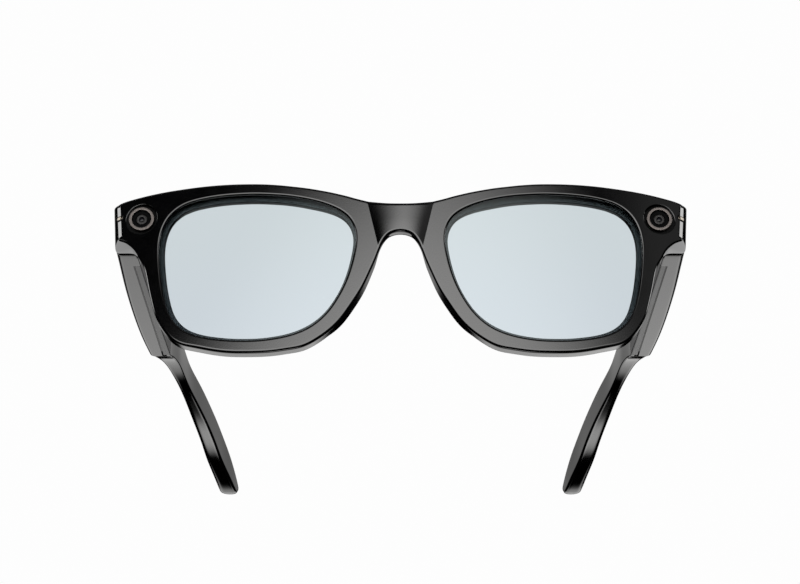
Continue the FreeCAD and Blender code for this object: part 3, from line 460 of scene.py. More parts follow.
def half_front(rim):
    """The +x half as closed loops, each going round the outline and back up the crease.

    Returns vertices, faces, whether each face is on the front face, and material indices.
    """
    crease_share = PAIR_OPENING[-1] + (AROUND - PAIR_OPENING[-1]) * CREASE_FRACTIONS[1:-1]
    around = np.concatenate([monotone(PAIR_OUTLINE, PAIR_OPENING, rim.lengths), crease_share])
    around = (around + OPENING_START) % AROUND
    opening = sample(OPENING, OPENING_LENGTHS, around)
    opening_out = unit(sample(OPENING_OUT, OPENING_LENGTHS, around))
    lip = 1.6 - 0.5 * (1 - smoothstep(13.0, 24.0, opening[:, 0]))
    loops = []

    def add(points, y, material=BLACK):
        loops.append((points, y, material))

    def opening_at(offset):
        return opening + opening_out * np.reshape(offset, (-1, 1))

    def add_opening(offset, behind, material=BLACK):
        points = opening_at(offset)
        add(points, sag(points[:, 0]) + behind, material)

    # rear edge of the opening, the lip, the lens groove, then the front edge
    for k in range(7):
        turn = math.pi / 2 * k / 6
        points = opening_at(-lip + 0.5 * (1 - math.sin(turn)))
        add(points, y_rear(*points.T) - 0.5 * (1 - math.cos(turn)), BLACK if k < 6 else GROOVE)
    for k in range(5):
        turn = math.pi / 2 * k / 4
        add_opening(-lip + 0.18 * (1 - math.cos(turn)), 2.26 + 0.18 * (1 - math.sin(turn)),
                    GROOVE)
    add_opening(0.5, 2.24, LIP)
    for offset, behind in ((0.5, 0.77), (-0.45, 0.75), (-0.45, 0.66)):
        add_opening(offset, behind, GROOVE)
    for k in range(9):
        turn = math.pi / 2 * k / 8
        add_opening(0.05 - 0.5 * math.cos(turn), 0.5 * (1 - math.sin(turn)),
                    BLACK if k > 0 else GROOVE)

    # the front face
    face_start = len(loops) - 1
    face_inner = opening_at(0.05)
    crease = crease_line(rim, EDGE, EDGE)[1:-1]
    face_outer = np.vstack([rim.points - rim.inset, crease])
    for t in np.linspace(0, 1, 25)[1:]:
        points = mix(face_inner, face_outer, t)
        add(points, sag(points[:, 0]))
    face_end = len(loops) - 1

    def add_rim(points, y, material=BLACK):
        add(np.vstack([points, crease]), np.concatenate([y, sag(crease[:, 0])]), material)

    # the front edge: a rounding that turns into a flat facet
    for k in range(1, EDGE_STEPS + 1):
        turn = math.pi / 2 * k / EDGE_STEPS
        if k < EDGE_STEPS:
            run = 0.05 + 0.90 * (k - 1) / (EDGE_STEPS - 2) - (0.03 if k == 1 else 0.0)
            flat_in, flat_back = 1 - run, run
        else:
            flat_in, flat_back = 0.0, 1.08
        inwards = mix(1 - math.sin(turn), flat_in, rim.facet)
        backwards = mix(1 - math.cos(turn), flat_back, rim.facet)
        points = rim.points - rim.inset * inwards[:, None]
        add_rim(points, sag(points[:, 0]) + rim.depth * backwards)

    # the side wall swells out towards the back outline
    wall_front = loops[-1][1][:OUTLINE_COUNT]
    wall_back = y_rear(*rim.rear.T) - rim.rear_radius
    for k in range(1, WALL_STEPS + 1):
        t = k / WALL_STEPS
        add_rim(mix(rim.points, rim.rear, 1 - (1 - t) ** 2.2), mix(wall_front, wall_back, t),
                SOLE)

    # the rear edge and the back
    def rear_edge(turn):
        return rim.rear - rim.rear_outward * (rim.rear_radius * (1 - math.cos(turn)))[:, None]

    rear_crease = crease_line(rim, rim.rear_radius[0], rim.rear_radius[-1])[1:-1]
    for k in range(1, REAR_STEPS):
        turn = math.pi / 2 * k / REAR_STEPS
        y = wall_back + rim.rear_radius * math.sin(turn)
        add(np.vstack([rear_edge(turn), rear_crease]),
            np.concatenate([y, y_rear(*rear_crease.T)]))
    rear_start = len(loops)
    rear_outer = np.vstack([rear_edge(math.pi / 2), rear_crease])
    rear_inner = opening_at(-lip + 0.5)
    for t in np.linspace(0, 1, 22)[:-1]:
        points = mix(rear_outer, rear_inner, t)
        add(points, y_rear(*points.T))

    verts = np.vstack([np.c_[points[:, 0], y, points[:, 1]] for points, y, _ in loops])
    x, z = rim.points.T
    below = (66.3 < x) & (x < 73.2) & (5.4 < z) & (z < 12.36)
    columns = OUTLINE_COUNT + CREASE_COUNT
    faces, on_face, materials = [], [], []
    for row in range(len(loops)):
        after = (row + 1) % len(loops)
        for i in range(columns):
            # the skin stays open along the crease, where the bridge joins on
            if i >= OUTLINE_COUNT - 1 and face_end <= row < rear_start:
                continue
            j = (i + 1) % columns
            faces.append((row * columns + i, row * columns + j,
                          after * columns + j, after * columns + i))
            on_face.append(face_start <= row < face_end)
            material = loops[after][2]
            # faces under the end piece keep the sole material, which carries a painted
            # reflection
            if material == SOLE and not (i < OUTLINE_COUNT and below[i]):
                material = BLACK
            materials.append(material)
    return verts, faces, np.array(on_face), materials


def cut_recess(verts, faces, on_face, materials):
    """Opens the round camera recess in the front face and adds its edge, wall and floor."""
    faces = np.array(faces)
    centres = verts[faces].mean(1)
    distance = np.hypot(centres[:, 0] - CAMERA_X, centres[:, 2] - CAMERA_Z)
    removed = on_face & (distance < RECESS_RADIUS + 0.02)

    # walk round the edges that only one removed face has
    uses = Counter()
    for face in faces[removed].tolist():
        for start, end in zip(face, face[1:] + face[:1]):
            uses[min(start, end), max(start, end)] += 1
    border = [edge for edge, count in uses.items() if count == 1]
    neighbours = {}
    for start, end in border:
        neighbours.setdefault(start, []).append(end)
        neighbours.setdefault(end, []).append(start)
    ring = [border[0][0]]
    previous, current = None, ring[0]
    while True:
        following = [i for i in neighbours[current] if i != previous][0]
        previous, current = current, following
        if current == ring[0]:
            break
        ring.append(current)
    ring = np.array(ring)

    def angles():
        return np.unwrap(np.arctan2(verts[ring, 2] - CAMERA_Z, verts[ring, 0] - CAMERA_X))

    turns = angles()
    if turns[-1] < turns[0]:
        ring = ring[::-1]
        turns = angles()
    # even out the angles a little and put the ring on a circle
    count = len(ring)
    even = turns[0] + 2 * np.pi * np.arange(count) / count
    turns = mix(even + np.mean(turns - even), turns, 0.35)

    def circle(radius, y, from_face):
        x = CAMERA_X + radius * np.cos(turns)
        return np.c_[x, y + sag(x) * from_face, CAMERA_Z + radius * np.sin(turns)]

    # (radius beyond the wall, depth behind the face), then (radius, y)
    edge_rings = ((0.16, 0.0), (0.10, 0.012), (0.03, 0.07), (0.0, 0.17))
    inner_rings = ((RECESS_RADIUS, RECESS_FLOOR), (4.0, RECESS_FLOOR), (3.36, RECESS_FLOOR),
                   (3.35, 8.0), (3.35, 10.6))
    rings = [circle(RECESS_RADIUS + beyond, depth, True) for beyond, depth in edge_rings]
    rings += [circle(radius, y, False) for radius, y in inner_rings]
    verts[ring] = rings.pop(0)

    all_faces = [tuple(face) for face in faces[~removed]]
    all_materials = [material for material, gone in zip(materials, removed) if not gone]
    previous = ring
    for k in range(len(rings)):
        current = np.arange(count) + len(verts) + k * count
        for i in range(count):
            j = (i + 1) % count
            all_faces.append((previous[i], previous[j], current[j], current[i]))
            all_materials.append(BLACK if k < len(edge_rings) - 1 else RECESS)
        previous = current
    centre = len(verts) + len(rings) * count
    for i in range(count):
        all_faces.append((previous[i], previous[(i + 1) % count], centre))
        all_materials.append(RECESS)
    floor_centre = (CAMERA_X, inner_rings[-1][1], CAMERA_Z)
    return np.vstack([verts, *rings, floor_centre]), all_faces, all_materials


def bridge_patch(rim):
    """The bridge between the creases, as closed sections side by side."""
    spans = 44

    def edge_curve(curve, end, end_out, sign):
        curve = curve[np.argsort(curve[:, 0])]
        lengths = arc_lengths(curve)
        start, stop = np.interp([-end[0], end[0]], curve[:, 0], lengths)
        at = np.linspace(start, stop, spans + 1)
        points = sample(curve, lengths, at)
        outward = unit(sample(left_normals(curve), lengths, at)) * sign
        # the ends agree exactly with the two rims
        points[-1], outward[-1] = end, end_out
        points[0], outward[0] = end * (-1, 1), end_out * (-1, 1)
        return points, outward

    top_end, low_end = rim.points[0], rim.points[-1]
    brow = BROW_CURVE[np.abs(BROW_CURVE[:, 0]) <= CREASE_TOP_X + 0.3]
    arch = LOWER_CURVE[(np.abs(LOWER_CURVE[:, 0]) <= abs(low_end[0]) + 0.4)
                       & (LOWER_CURVE[:, 1] > 4.0)]
    top, top_out = edge_curve(brow, top_end, rim.outward[0], 1)
    low, low_out = edge_curve(arch, low_end, rim.outward[-1], -1)
    top_radius = rim.rear_radius[0]
    bulge = 1 - np.linspace(-1, 1, spans + 1) ** 2
    low_radius = rim.rear_radius[-1] + (BRIDGE_REAR_RADIUS - rim.rear_radius[-1]) * bulge
    crease = crease_line(rim, EDGE, EDGE)
    (low_x, low_z), (top_x, top_z) = crease[0], crease[-1]

    def face_y(points):
        # the middle stands forward of the line between the creases
        x, z = points.T
        half_width = low_x + (z - low_z) * (top_x - low_x) / (top_z - low_z)
        forward = 1.20 + 0.0094 * (z - 14) - 0.00175 * np.minimum(z - 14, 0) ** 2
        radius = half_width ** 2 / (2 * forward)
        y = sag(half_width) - (np.sqrt(radius ** 2 - x ** 2)
                               - np.sqrt(radius ** 2 - half_width ** 2))
        return y + sag(x[-1]) - y[-1]

    sections = []

    def add(points, y):
        sections.append(np.c_[points[:, 0], y, points[:, 1]])

    def front_edge(points, outward):
        rows = []
        for k in range(1, EDGE_STEPS + 1):
            turn = math.pi / 2 * k / EDGE_STEPS
            inner = points - outward * (EDGE * (1 - math.sin(turn)))
            rows.append((inner, face_y(inner) + EDGE * (1 - math.cos(turn))))
        return rows

    def rear_inset(points, outward, radius, turn):
        return points - outward * (np.reshape(radius, (-1, 1)) * (1 - math.cos(turn)))

    def add_rear_edge(points, outward, radius, steps):
        for k in steps:
            turn = math.pi / 2 * k / REAR_STEPS
            add(rear_inset(points, outward, radius, turn),
                y_rear(*points.T) - radius + radius * math.sin(turn))

    # up the face, over the brow, down the back, and forward under the arch
    for t in CREASE_FRACTIONS:
        points = mix(low - low_out * EDGE, top - top_out * EDGE, t)
        add(points, face_y(points))
    top_edge = front_edge(top, top_out)
    for row in top_edge:
        add(*row)
    for k in range(1, WALL_STEPS + 1):
        add(top, mix(top_edge[-1][1], y_rear(*top.T) - top_radius, k / WALL_STEPS))
    add_rear_edge(top, top_out, top_radius, range(1, REAR_STEPS))
    rear_top = rear_inset(top, top_out, top_radius, math.pi / 2)
    rear_low = low - low_out * low_radius[:, None]
    for t in CREASE_FRACTIONS:
        points = mix(rear_top, rear_low, t)
        add(points, y_rear(*points.T))
    add_rear_edge(low, low_out, low_radius, range(REAR_STEPS - 1, -1, -1))
    low_edge = front_edge(low, low_out)
    for k in range(WALL_STEPS - 1, -1, -1):
        add(low, mix(low_edge[-1][1], y_rear(*low.T) - low_radius, k / WALL_STEPS))
    for row in low_edge[:-1][::-1]:
        add(*row)
    faces = grid_faces(len(sections), spans + 1, close_rows=True, close_columns=False)
    return np.vstack(sections), faces


def build_front():
    rim = rim_samples()
    half, half_faces, half_materials = cut_recess(*half_front(rim))
    bridge, bridge_faces = bridge_patch(rim)
    count = len(half)
    faces = list(half_faces)
    faces += [tuple(i + count for i in reversed(face)) for face in half_faces]
    faces += [tuple(i + 2 * count for i in face) for face in bridge_faces]
    piece = make_object(
        "front_shell_look", leaned(np.vstack([half, half * (-1, 1, 1), bridge])), faces,
        sharp_degrees=38, materials=half_materials * 2 + [BLACK] * len(bridge_faces))

    # the two crease lines stay crisp
    crease = crease_line(rim, EDGE, EDGE)
    line = leaned(np.c_[crease[:, 0], sag(crease[:, 0]), crease[:, 1]])
    places = vertex_places(piece.data)
    on_crease = np.zeros(len(places), bool)
    for point in np.vstack([line, line * (-1, 1, 1)]):
        on_crease |= ((places - point) ** 2).sum(1) < (3e-6) ** 2
    work = bmesh.new()
    work.from_mesh(piece.data)
    for edge in work.edges:
        if all(on_crease[vert.index] for vert in edge.verts):
            edge.smooth = False
    work.to_mesh(piece.data)
    work.free()
    return piece


front = build_front()


# ------------------------------------------------------------------ shader helpers
class Shader:
    """Node tree of a material or world, with short ways to add nodes.

    Inputs are given by name or number, as a value or as a socket to link from.
    """

    def __init__(self, owner):
        owner.use_nodes = True
        self.nodes = owner.node_tree.nodes
        self.links = owner.node_tree.links

    def feed(self, node, inputs):
        for key, value in inputs.items():
            if isinstance(value, bpy.types.NodeSocket):
                self.links.new(value, node.inputs[key])
            else:
                node.inputs[key].default_value = value

    def add(self, kind, inputs=None, **settings):
        node = self.nodes.new("ShaderNode" + kind)
        for name, value in settings.items():
            setattr(node, name, value)
        self.feed(node, inputs or {})
        return node

    def finish(self, shader):
        self.feed(self.nodes["Material Output"], {"Surface": shader})

    def math(self, operation, *values):
        return self.add("Math", dict(enumerate(values)), operation=operation).outputs[0]

    def product(self, first, *others):
        for other in others:
            first = self.math("MULTIPLY", first, other)
        return first

    def ramp(self, value, start, end, before=0.0, after=1.0):
        """Smooth change from before to after as the value goes from start to end."""
        inputs = {"From Min": start, "From Max": end, "To Min": before, "To Max": after,
                  "Value": value}
        node = self.add("MapRange", inputs, interpolation_type="SMOOTHSTEP")
        return node.outputs["Result"]

    def vector(self, operation, *values):
        return self.add("VectorMath", dict(enumerate(values)), operation=operation)

    def noise(self, vector, scale, detail=2):
        inputs = {"Vector": vector, "Scale": scale, "Detail": detail}
        return self.add("TexNoise", inputs).outputs["Fac"]

    def colours(self, factor, low, high, positions=(0.0, 1.0)):
        node = self.add("ValToRGB", {"Fac": factor})
        for element, colour, position in zip(node.color_ramp.elements, (low, high), positions):
            element.position = position
            element.color = (*colour, 1)
        return node.outputs["Color"]

    def bump(self, height, strength):
        inputs = {"Strength": strength, "Distance": 0.00002, "Height": height}
        return self.add("Bump", inputs).outputs["Normal"]


def new_material(name):
    material = bpy.data.materials.new(name)
    return material, Shader(material)


def elevation(tree, z):
    return tree.math("MULTIPLY", tree.math("ARCSINE", z), 180 / math.pi)


def soft_box(tree, x, y, z):
    """Azimuth (0 towards the viewer), elevation and the large soft box behind the viewer.

    The box is a rounded shape whose centre drifts to the right with height.
    """
    half_width, half_height = 48.22, 30.8             # degrees
    drift, middle_height, middle = 0.45, 18.0, 1.7    # degrees per degree, degrees, degrees
    power = 1.734                                     # 2 would be an ellipse
    around = tree.math("ARCTAN2", x, tree.math("MULTIPLY", y, -1.0))
    azimuth = tree.math("MULTIPLY", around, 180 / math.pi)
    height = elevation(tree, z)
    above = tree.math("SUBTRACT", height, middle_height)
    centre = tree.math("ADD", tree.math("MULTIPLY", above, drift), middle)
    offset = tree.math("ABSOLUTE", tree.math("SUBTRACT", azimuth, centre))
    across = tree.math("DIVIDE", offset, half_width)
    up = tree.math("DIVIDE", tree.math("ABSOLUTE", height), half_height)
    total = tree.math("ADD", tree.math("POWER", across, power), tree.math("POWER", up, power))
    radius = tree.math("POWER", total, 1 / power)
    return azimuth, height, tree.ramp(radius, start=0.587, end=0.874, before=5.71, after=0.0)


def low_sweep(tree, x, y, height):
    """Pale sweep low behind the object."""
    return tree.product(
        tree.ramp(y, start=0.0, end=0.35),
        tree.ramp(height, start=-2, end=-10),
        tree.ramp(height, start=-54, end=-36),
        tree.ramp(tree.math("ABSOLUTE", x), start=0.50, end=0.36),
        tree.ramp(x, start=-0.3, end=0.3, before=1.55, after=1.85))


# ------------------------------------------------------------------ materials
def surface(name, base, roughness, metallic=0.0, specular=0.5, coat=0.0, coat_roughness=0.05,
            vary=0.2, scale=900.0, bump=0.0, bump_scale=4000.0, stretch=(1, 1, 1),
            roughness_vary=0.03):
    """Colour and roughness wander a little with noise, and bump adds fine grain."""
    material, tree = new_material(name)
    shader = tree.nodes["Principled BSDF"]
    place = tree.add("TexCoord").outputs["Object"]
    place = tree.add("Mapping", {"Scale": stretch, "Vector": place}).outputs["Vector"]
    grain = tree.noise(place, scale, detail=4)
    low = [max(channel * (1 - vary), 0) for channel in base]
    high = [min(channel * (1 + vary), 1) for channel in base]
    rough = tree.add("MapRange", {"To Min": max(roughness - roughness_vary, 0.0),
                                  "To Max": min(roughness + roughness_vary, 1.0),
                                  "Value": grain})
    tree.feed(shader, {
        "Base Color": tree.colours(grain, low, high, positions=(0.3, 0.7)),
        "Roughness": rough.outputs["Result"],
        "Metallic": metallic,
        "Specular IOR Level": specular,
        "Coat Weight": coat,
        "Coat Roughness": coat_roughness})
    if bump:
        fine = tree.noise(place, bump_scale, detail=3)
        tree.feed(shader, {"Normal": tree.bump(fine, bump)})
    return material


def lens_glass():
    """Tinted see-through glass with a painted reflection of the soft box, mirror-like only when
    grazed.
    """
    material, tree = new_material("lens_glass")
    tree.nodes.remove(tree.nodes["Principled BSDF"])
    place = tree.add("TexCoord").outputs
    z = tree.add("SeparateXYZ", {"Vector": place["Object"]}).outputs["Z"]
    camera_ray = tree.add("LightPath").outputs["Is Camera Ray"]

    cloud = tree.noise(place["Object"], scale=35)
    height = tree.ramp(z, start=-0.03, end=0.006, before=0.0, after=0.9)
    tint = tree.colours(tree.math("ADD", height, tree.math("MULTIPLY", cloud, 0.1)),
                        low=(0.779, 0.817, 0.845), high=(0.783, 0.823, 0.838))
    clear = tree.add("BsdfTransparent", {"Color": tint})

    # painted reflection: an emission, for camera rays only, of the soft box as a mirror would
    # show it
    reflected = tree.add("SeparateXYZ", {"Vector": place["Reflection"]}).outputs
    soft = soft_box(tree, *reflected)[2]
    box_share = 0.0088    # how much of the soft box the painted reflection shows
    painted_reflection = tree.add("Emission", {"Color": (0.94, 1.0, 0.97, 1),
                                 "Strength": tree.product(soft, box_share, camera_ray)})
    both = tree.add("AddShader", {0: clear.outputs[0], 1: painted_reflection.outputs[0]})

    mirror = tree.add("BsdfGlossy", {"Color": (0.9, 0.97, 1.0, 1), "Roughness": 0.03})
    geometry = tree.add("NewGeometry").outputs
    facing = tree.vector("DOT_PRODUCT", geometry["Normal"], geometry["Incoming"])
    away = tree.math("SUBTRACT", 1.0, tree.math("ABSOLUTE", facing.outputs["Value"]))
    falloff, strongest = 4.0, 0.85    # of the grazing reflection
    grazing = tree.product(tree.math("POWER", away, falloff), strongest, camera_ray)
    blend = tree.add("MixShader", {0: grazing, 1: both.outputs[0], 2: mirror.outputs[0]})
    tree.finish(blend.outputs[0])
    return material


def bezel_ring(side, tag):
    """Turned metal with fine rings round the camera's axis."""
    base = (0.115, 0.103, 0.097)
    material, tree = new_material("bezel_metal_" + tag)
    centre = tuple(leaned((side * CAMERA_X, 7.0, CAMERA_Z)))
    place = tree.add("TexCoord").outputs["Object"]
    offset = tree.vector("SUBTRACT", place, centre).outputs[0]
    offset = tree.vector("MULTIPLY", offset, (1, 0, 1)).outputs[0]
    radius = tree.vector("LENGTH", offset).outputs["Value"]
    rings = tree.add("TexNoise", {"Scale": 9000, "Detail": 3, "W": radius},
                     noise_dimensions="1D").outputs["Fac"]
    tree.feed(tree.nodes["Principled BSDF"], {
        "Base Color": tree.colours(rings, low=[channel * 0.6 for channel in base],
                                   high=[channel * 1.3 for channel in base]),
        "Metallic": 1.0,
        "Roughness": 0.5,
        "Normal": tree.bump(rings, strength=0.35)})
    return material


def add_sole_painted_reflection(material):
    """Painted reflection of the pale sweep on the end piece's underside, seen as one even face.
    """
    # what a mirror with this fixed normal would show, emitted for camera rays only
    sole_normal = (0.0, 0.12, -0.9928)
    tree = Shader(material)
    incoming = tree.add("NewGeometry").outputs["Incoming"]
    view = tree.add("VectorMath", {0: incoming, "Scale": -1.0}, operation="SCALE")
    reflected = tree.vector("REFLECT", view.outputs[0], sole_normal)
    x, y, z = tree.add("SeparateXYZ", {0: reflected.outputs[0]}).outputs
    height = elevation(tree, z)
    camera_ray = tree.add("LightPath").outputs["Is Camera Ray"]
    share = tree.ramp(tree.math("ABSOLUTE", x), start=0.145, end=0.185,
                      before=0.145, after=0.205)
    strength = tree.product(low_sweep(tree, x, y, height), share, camera_ray)
    painted_reflection = tree.add("Emission", {"Strength": strength})
    both = tree.add("AddShader", {0: tree.nodes["Principled BSDF"].outputs[0],
                                  1: painted_reflection.outputs[0]})
    tree.finish(both.outputs[0])


SURFACES = {
    "frame_black": dict(base=(0.0014, 0.0014, 0.0016), roughness=0.085, vary=0.35, scale=260,
                        bump=0.12, bump_scale=2600, roughness_vary=0.02),
    "groove_black": dict(base=(0.0025, 0.0028, 0.0028), roughness=0.45, specular=0.2,
                         vary=0.35, bump=0.2, bump_scale=6000),
    # the underside's black; a painted reflection of the pale sweep is added to this material
    # below
    "sole_black": dict(base=(0.0016, 0.0016, 0.0018), roughness=0.3, specular=0.05,
                       vary=0.35, scale=260, roughness_vary=0.02),
    "lip_grey": dict(base=(0.045, 0.049, 0.05), roughness=0.5, specular=0.3),
    "recess_black": dict(base=(0.0016, 0.0016, 0.0018), roughness=0.5, specular=0.04, vary=0.3),
    "cover_black": dict(base=(0.012, 0.012, 0.013), roughness=0.36, vary=0.25, scale=600,
                        bump=0.3, bump_scale=9000),
    "button_black": dict(base=(0.010, 0.010, 0.011), roughness=0.25, vary=0.25,
                         bump=0.2, bump_scale=9000),
    "bezel_metal": dict(base=(0.23, 0.215, 0.2), roughness=0.42, metallic=1.0, vary=0.3,
                        scale=5000, bump=0.3, bump_scale=9000),
    "stud_metal": dict(base=(0.085, 0.075, 0.062), roughness=0.2, metallic=1.0, vary=0.4,
                       scale=2500, bump=0.25, bump_scale=5000),
    "camera_black": dict(base=(0.0016, 0.0016, 0.0018), roughness=0.4, specular=0.015,
                         vary=0.3, scale=1200, bump=0.1),
    "camera_lens": dict(base=(0.022, 0.021, 0.021), roughness=0.45, specular=0.12, vary=0.4,
                        scale=2500, coat=0.06, coat_roughness=0.1),
    "hinge_steel": dict(base=(0.42, 0.41, 0.40), roughness=0.3, metallic=1.0, vary=0.15,
                        scale=2500, bump=0.3, bump_scale=6000, stretch=(1, 1, 6)),
    "contact_gold": dict(base=(0.75, 0.53, 0.2), roughness=0.22, metallic=1.0, vary=0.12,
                         scale=2500),
    "mesh_metal": dict(base=(0.08, 0.08, 0.085), roughness=0.45, metallic=1.0, vary=0.8,
                       scale=4200, bump=0.8, bump_scale=4200),
    "module_metal": dict(base=(0.45, 0.45, 0.46), roughness=0.38, metallic=1.0, vary=0.15,
                         scale=1500, bump=0.2),
    "board_green": dict(base=(0.012, 0.09, 0.035), roughness=0.4, vary=0.5, scale=800,
                        coat=0.4, bump=0.2, bump_scale=1500),
    "battery_foil": dict(base=(0.5, 0.5, 0.52), roughness=0.35, metallic=1.0, vary=0.12,
                         scale=500, bump=0.4, bump_scale=900),
    "flex_film": dict(base=(0.35, 0.12, 0.02), roughness=0.32, vary=0.3, scale=1500,
                      coat=0.5, bump=0.1),
    "dome_glass": dict(base=(0.004, 0.004, 0.006), roughness=0.06, specular=0.14, vary=0.5),
}
MATERIALS = {name: surface(name, **settings) for name, settings in SURFACES.items()}
MATERIALS["lens_glass"] = lens_glass()
add_sole_painted_reflection(MATERIALS["sole_black"])


def install(piece, slot, carrier, replaced=None, materials=None):
    faces = piece.data.polygons
    indices = np.zeros(len(faces), np.int32)
    faces.foreach_get("material_index", indices)
    materials = materials or [MATERIALS[slot]]
    piece.data.materials.clear()
    for material in materials:
        piece.data.materials.append(material)
    if len(materials) > 1:
        faces.foreach_set("material_index", indices)
    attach(piece, carrier)
    if replaced:
        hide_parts(replaced)


# in the order of BLACK, GROOVE, LIP, RECESS, SOLE
install(front, "frame_black", "front", "front_shell", [MATERIALS[name] for name in (
    "frame_black", "groove_black", "lip_grey", "recess_black", "sole_black")])


# ------------------------------------------------------------------ lenses
def build_lens(side, tag):
    """A curved plate that fills the opening and reaches into its groove."""
    count, ring_count = 320, 26
    front_depth, back_depth = 0.8, 2.2    # behind the front face
    easing = 0.06
    middle = np.array([37.0, 2.5])
    at = np.linspace(0, AROUND, count, endpoint=False)
    outward = sample(OPENING_OUT, OPENING_LENGTHS, at)
    edge = sample(OPENING, OPENING_LENGTHS, at) + outward * 0.47
    rings = []

    def add(points, behind):
        rings.append(np.c_[points[:, 0], sag(points[:, 0]) + behind, points[:, 1]])

    def add_side(steps, behind):
        for k in steps:
            t = 0.02 + 0.98 * k / (ring_count - 1)
            add(middle + (edge - outward * easing - middle) * t, behind)

    add_side(range(ring_count), front_depth)
    add(edge, front_depth + easing)
    add(edge, back_depth - easing)
    add_side(range(ring_count - 1, -1, -1), back_depth)
    centres = [(middle[0], sag(middle[0]) + behind, middle[1])
               for behind in (front_depth, back_depth)]
    faces = grid_faces(len(rings), count)
    front_centre = len(rings) * count
    last_ring = front_centre - count
    for i in range(count):
        j = (i + 1) % count
        faces.append((front_centre, j, i))
        faces.append((front_centre + 1, last_ring + i, last_ring + j))
    verts = np.vstack([*rings, centres]) * (side, 1, 1)
    piece = make_object("lens_look_" + tag, leaned(verts), faces, sharp_degrees=40)
    install(piece, "lens_glass", "front", "lens_" + tag)


# ------------------------------------------------------------------ cameras
# turned profiles: (radius, y)
BEZEL = np.vstack([
    [(2.45, 8.05)], quarter_arc(2.45 + 0.14, 6.75 + 0.14, 0.14, 180, 5),
    quarter_arc(3.3 - 0.2, 6.75 + 0.2, 0.2, 270, 6), [(3.3, 8.0), (3.25, 8.05)]])
WINDOW = np.vstack([
    [(1.45, 7.72)], quarter_arc(1.45 + 0.1, 7.12 + 0.1, 0.1, 180, 4), [(2.0, 7.1)],
    quarter_arc(2.4 - 0.1, 7.12 + 0.1, 0.1, 270, 4), [(2.4, 7.75)]])
BARREL = np.vstack([
    [(0.0, 7.78), (0.6, 7.78), (0.64, 7.6), (0.70, 7.36)],
    quarter_arc(0.70 + 0.06, 7.26 + 0.06, 0.06, 180, 3),
    [(1.0, 7.235), (1.28, 7.27), (1.36, 7.32), (1.38, 7.45), (1.38, 7.82), (2.2, 7.85),
     (2.3, 7.95), (2.3, 9.8), (2.2, 9.9), (0.0, 9.9)]])
DOME = np.array([(0.0, 7.30), (0.2, 7.312), (0.4, 7.35), (0.55, 7.40), (0.66, 7.47),
                 (0.66, 7.7), (0.0, 7.7)])


def turned(name, side, profile, segments, closed=False):
    """A profile turned about the camera's axis; closed joins its last point to its first."""
    turns = np.linspace(0, 2 * np.pi, segments, endpoint=False)
    radius, y = profile.T[:, :, None]
    x = side * CAMERA_X + radius * np.cos(turns)
    z = CAMERA_Z + radius * np.sin(turns)
    verts = np.stack([x, np.broadcast_to(y, x.shape), z], -1).reshape(-1, 3)
    faces = grid_faces(len(profile), segments, close_rows=closed)
    return make_object(name, leaned(verts), faces, sharp_degrees=35)


def build_camera(side, tag):
    bezel = turned("camera_bezel_look_" + tag, side, BEZEL, 128, closed=True)
    install(bezel, "bezel_metal", "front", "camera_bezel_" + tag, [bezel_ring(side, tag)])
    window = turned("camera_window_look_" + tag, side, WINDOW, 128, closed=True)
    install(window, "camera_black", "front", "camera_window_" + tag)
    barrel = turned("camera_barrel_look_" + tag, side, BARREL, 96)
    install(barrel, "camera_lens", "front", "camera_barrel_" + tag)
    # the small glass dome in the iris
    dome = turned("camera_dome_" + tag, side, DOME, 72)
    install(dome, "camera_black", "front", materials=[MATERIALS["dome_glass"]])


# ------------------------------------------------------------------ corner studs
STUD_Z = 18.05
STUD_EDGE = 0.10    # drop from the stud's top to the foot of its rounded edge
# (share of the half width, height above the stud's nominal top)
STUD_SECTION = [(-1, -STUD_EDGE), (-0.97, -0.05), (-0.9, -0.012), (-0.8, 0), (-0.4, 0.02),
                (0, 0.03), (0.4, 0.02), (0.8, 0), (0.9, -0.012), (0.97, -0.05),
                (1, -STUD_EDGE)]


def stud_path():
    """(x, y) over the face, the facet and on to the side, in steps of 0.02."""
    step = 0.02
    corner = float(sag(73.53))
    path = np.array([(71.55, sag(71.55)), (72.45, sag(72.45)), (73.50, corner + 0.80),
                     (74.02, corner + 2.3), (74.15, corner + 2.7)])
    lengths = arc_lengths(path)
    return smoothed(sample(path, lengths, np.arange(0, lengths[-1], step)), 0.1, step)


def stud_bar(name, side, half_width, start_gap, end_gap, proud, foot):
    """A round-ended bar bent along the stud path, from foot up to proud of the surface."""
    path = stud_path()
    lengths = arc_lengths(path)
    start, end = start_gap, lengths[-1] - end_gap
    at = start + (end - start) * (1 - np.cos(np.linspace(0, np.pi, 61))) / 2
    along = unit(sample(np.gradient(path, axis=0), lengths, at))
    verts = []
    for length, place, (along_x, along_y) in zip(at, sample(path, lengths, at), along):
        to_end = min(length - start, end - length)
        bow = 1 - max(0.0, 1 - to_end / half_width) ** 2
        half = max(half_width * math.sqrt(max(0.0, bow)), 0.02)
        rise = min(1.0, half / half_width * 1.6)
        row = [(across, proud - STUD_EDGE + (height + STUD_EDGE) * rise)
               for across, height in STUD_SECTION]
        for across, height in [(-1, foot), *row, (1, foot)]:
            verts.append((place[0] + along_y * height, place[1] - along_x * height,
                          STUD_Z + across * half))
    faces = tube_faces(len(at), len(STUD_SECTION) + 2)
    return make_object(name, leaned(np.array(verts) * (side, 1, 1)), faces, sharp_degrees=40)


def build_stud(side, tag):
    seat = stud_bar("corner_stud_seat_" + tag, side, half_width=0.98, start_gap=0.1,
                    end_gap=0.2, proud=0.025, foot=-0.3)
    install(seat, "camera_black", "front", materials=[MATERIALS["recess_black"]])
    stud = stud_bar("corner_stud_look_" + tag, side, half_width=0.55, start_gap=0.42,
                    end_gap=0.5, proud=0.10, foot=-0.4)
    install(stud, "stud_metal", "front", "corner_stud_" + tag)


for side, tag in SIDES:
    build_lens(side, tag)
    build_camera(side, tag)
    build_stud(side, tag)


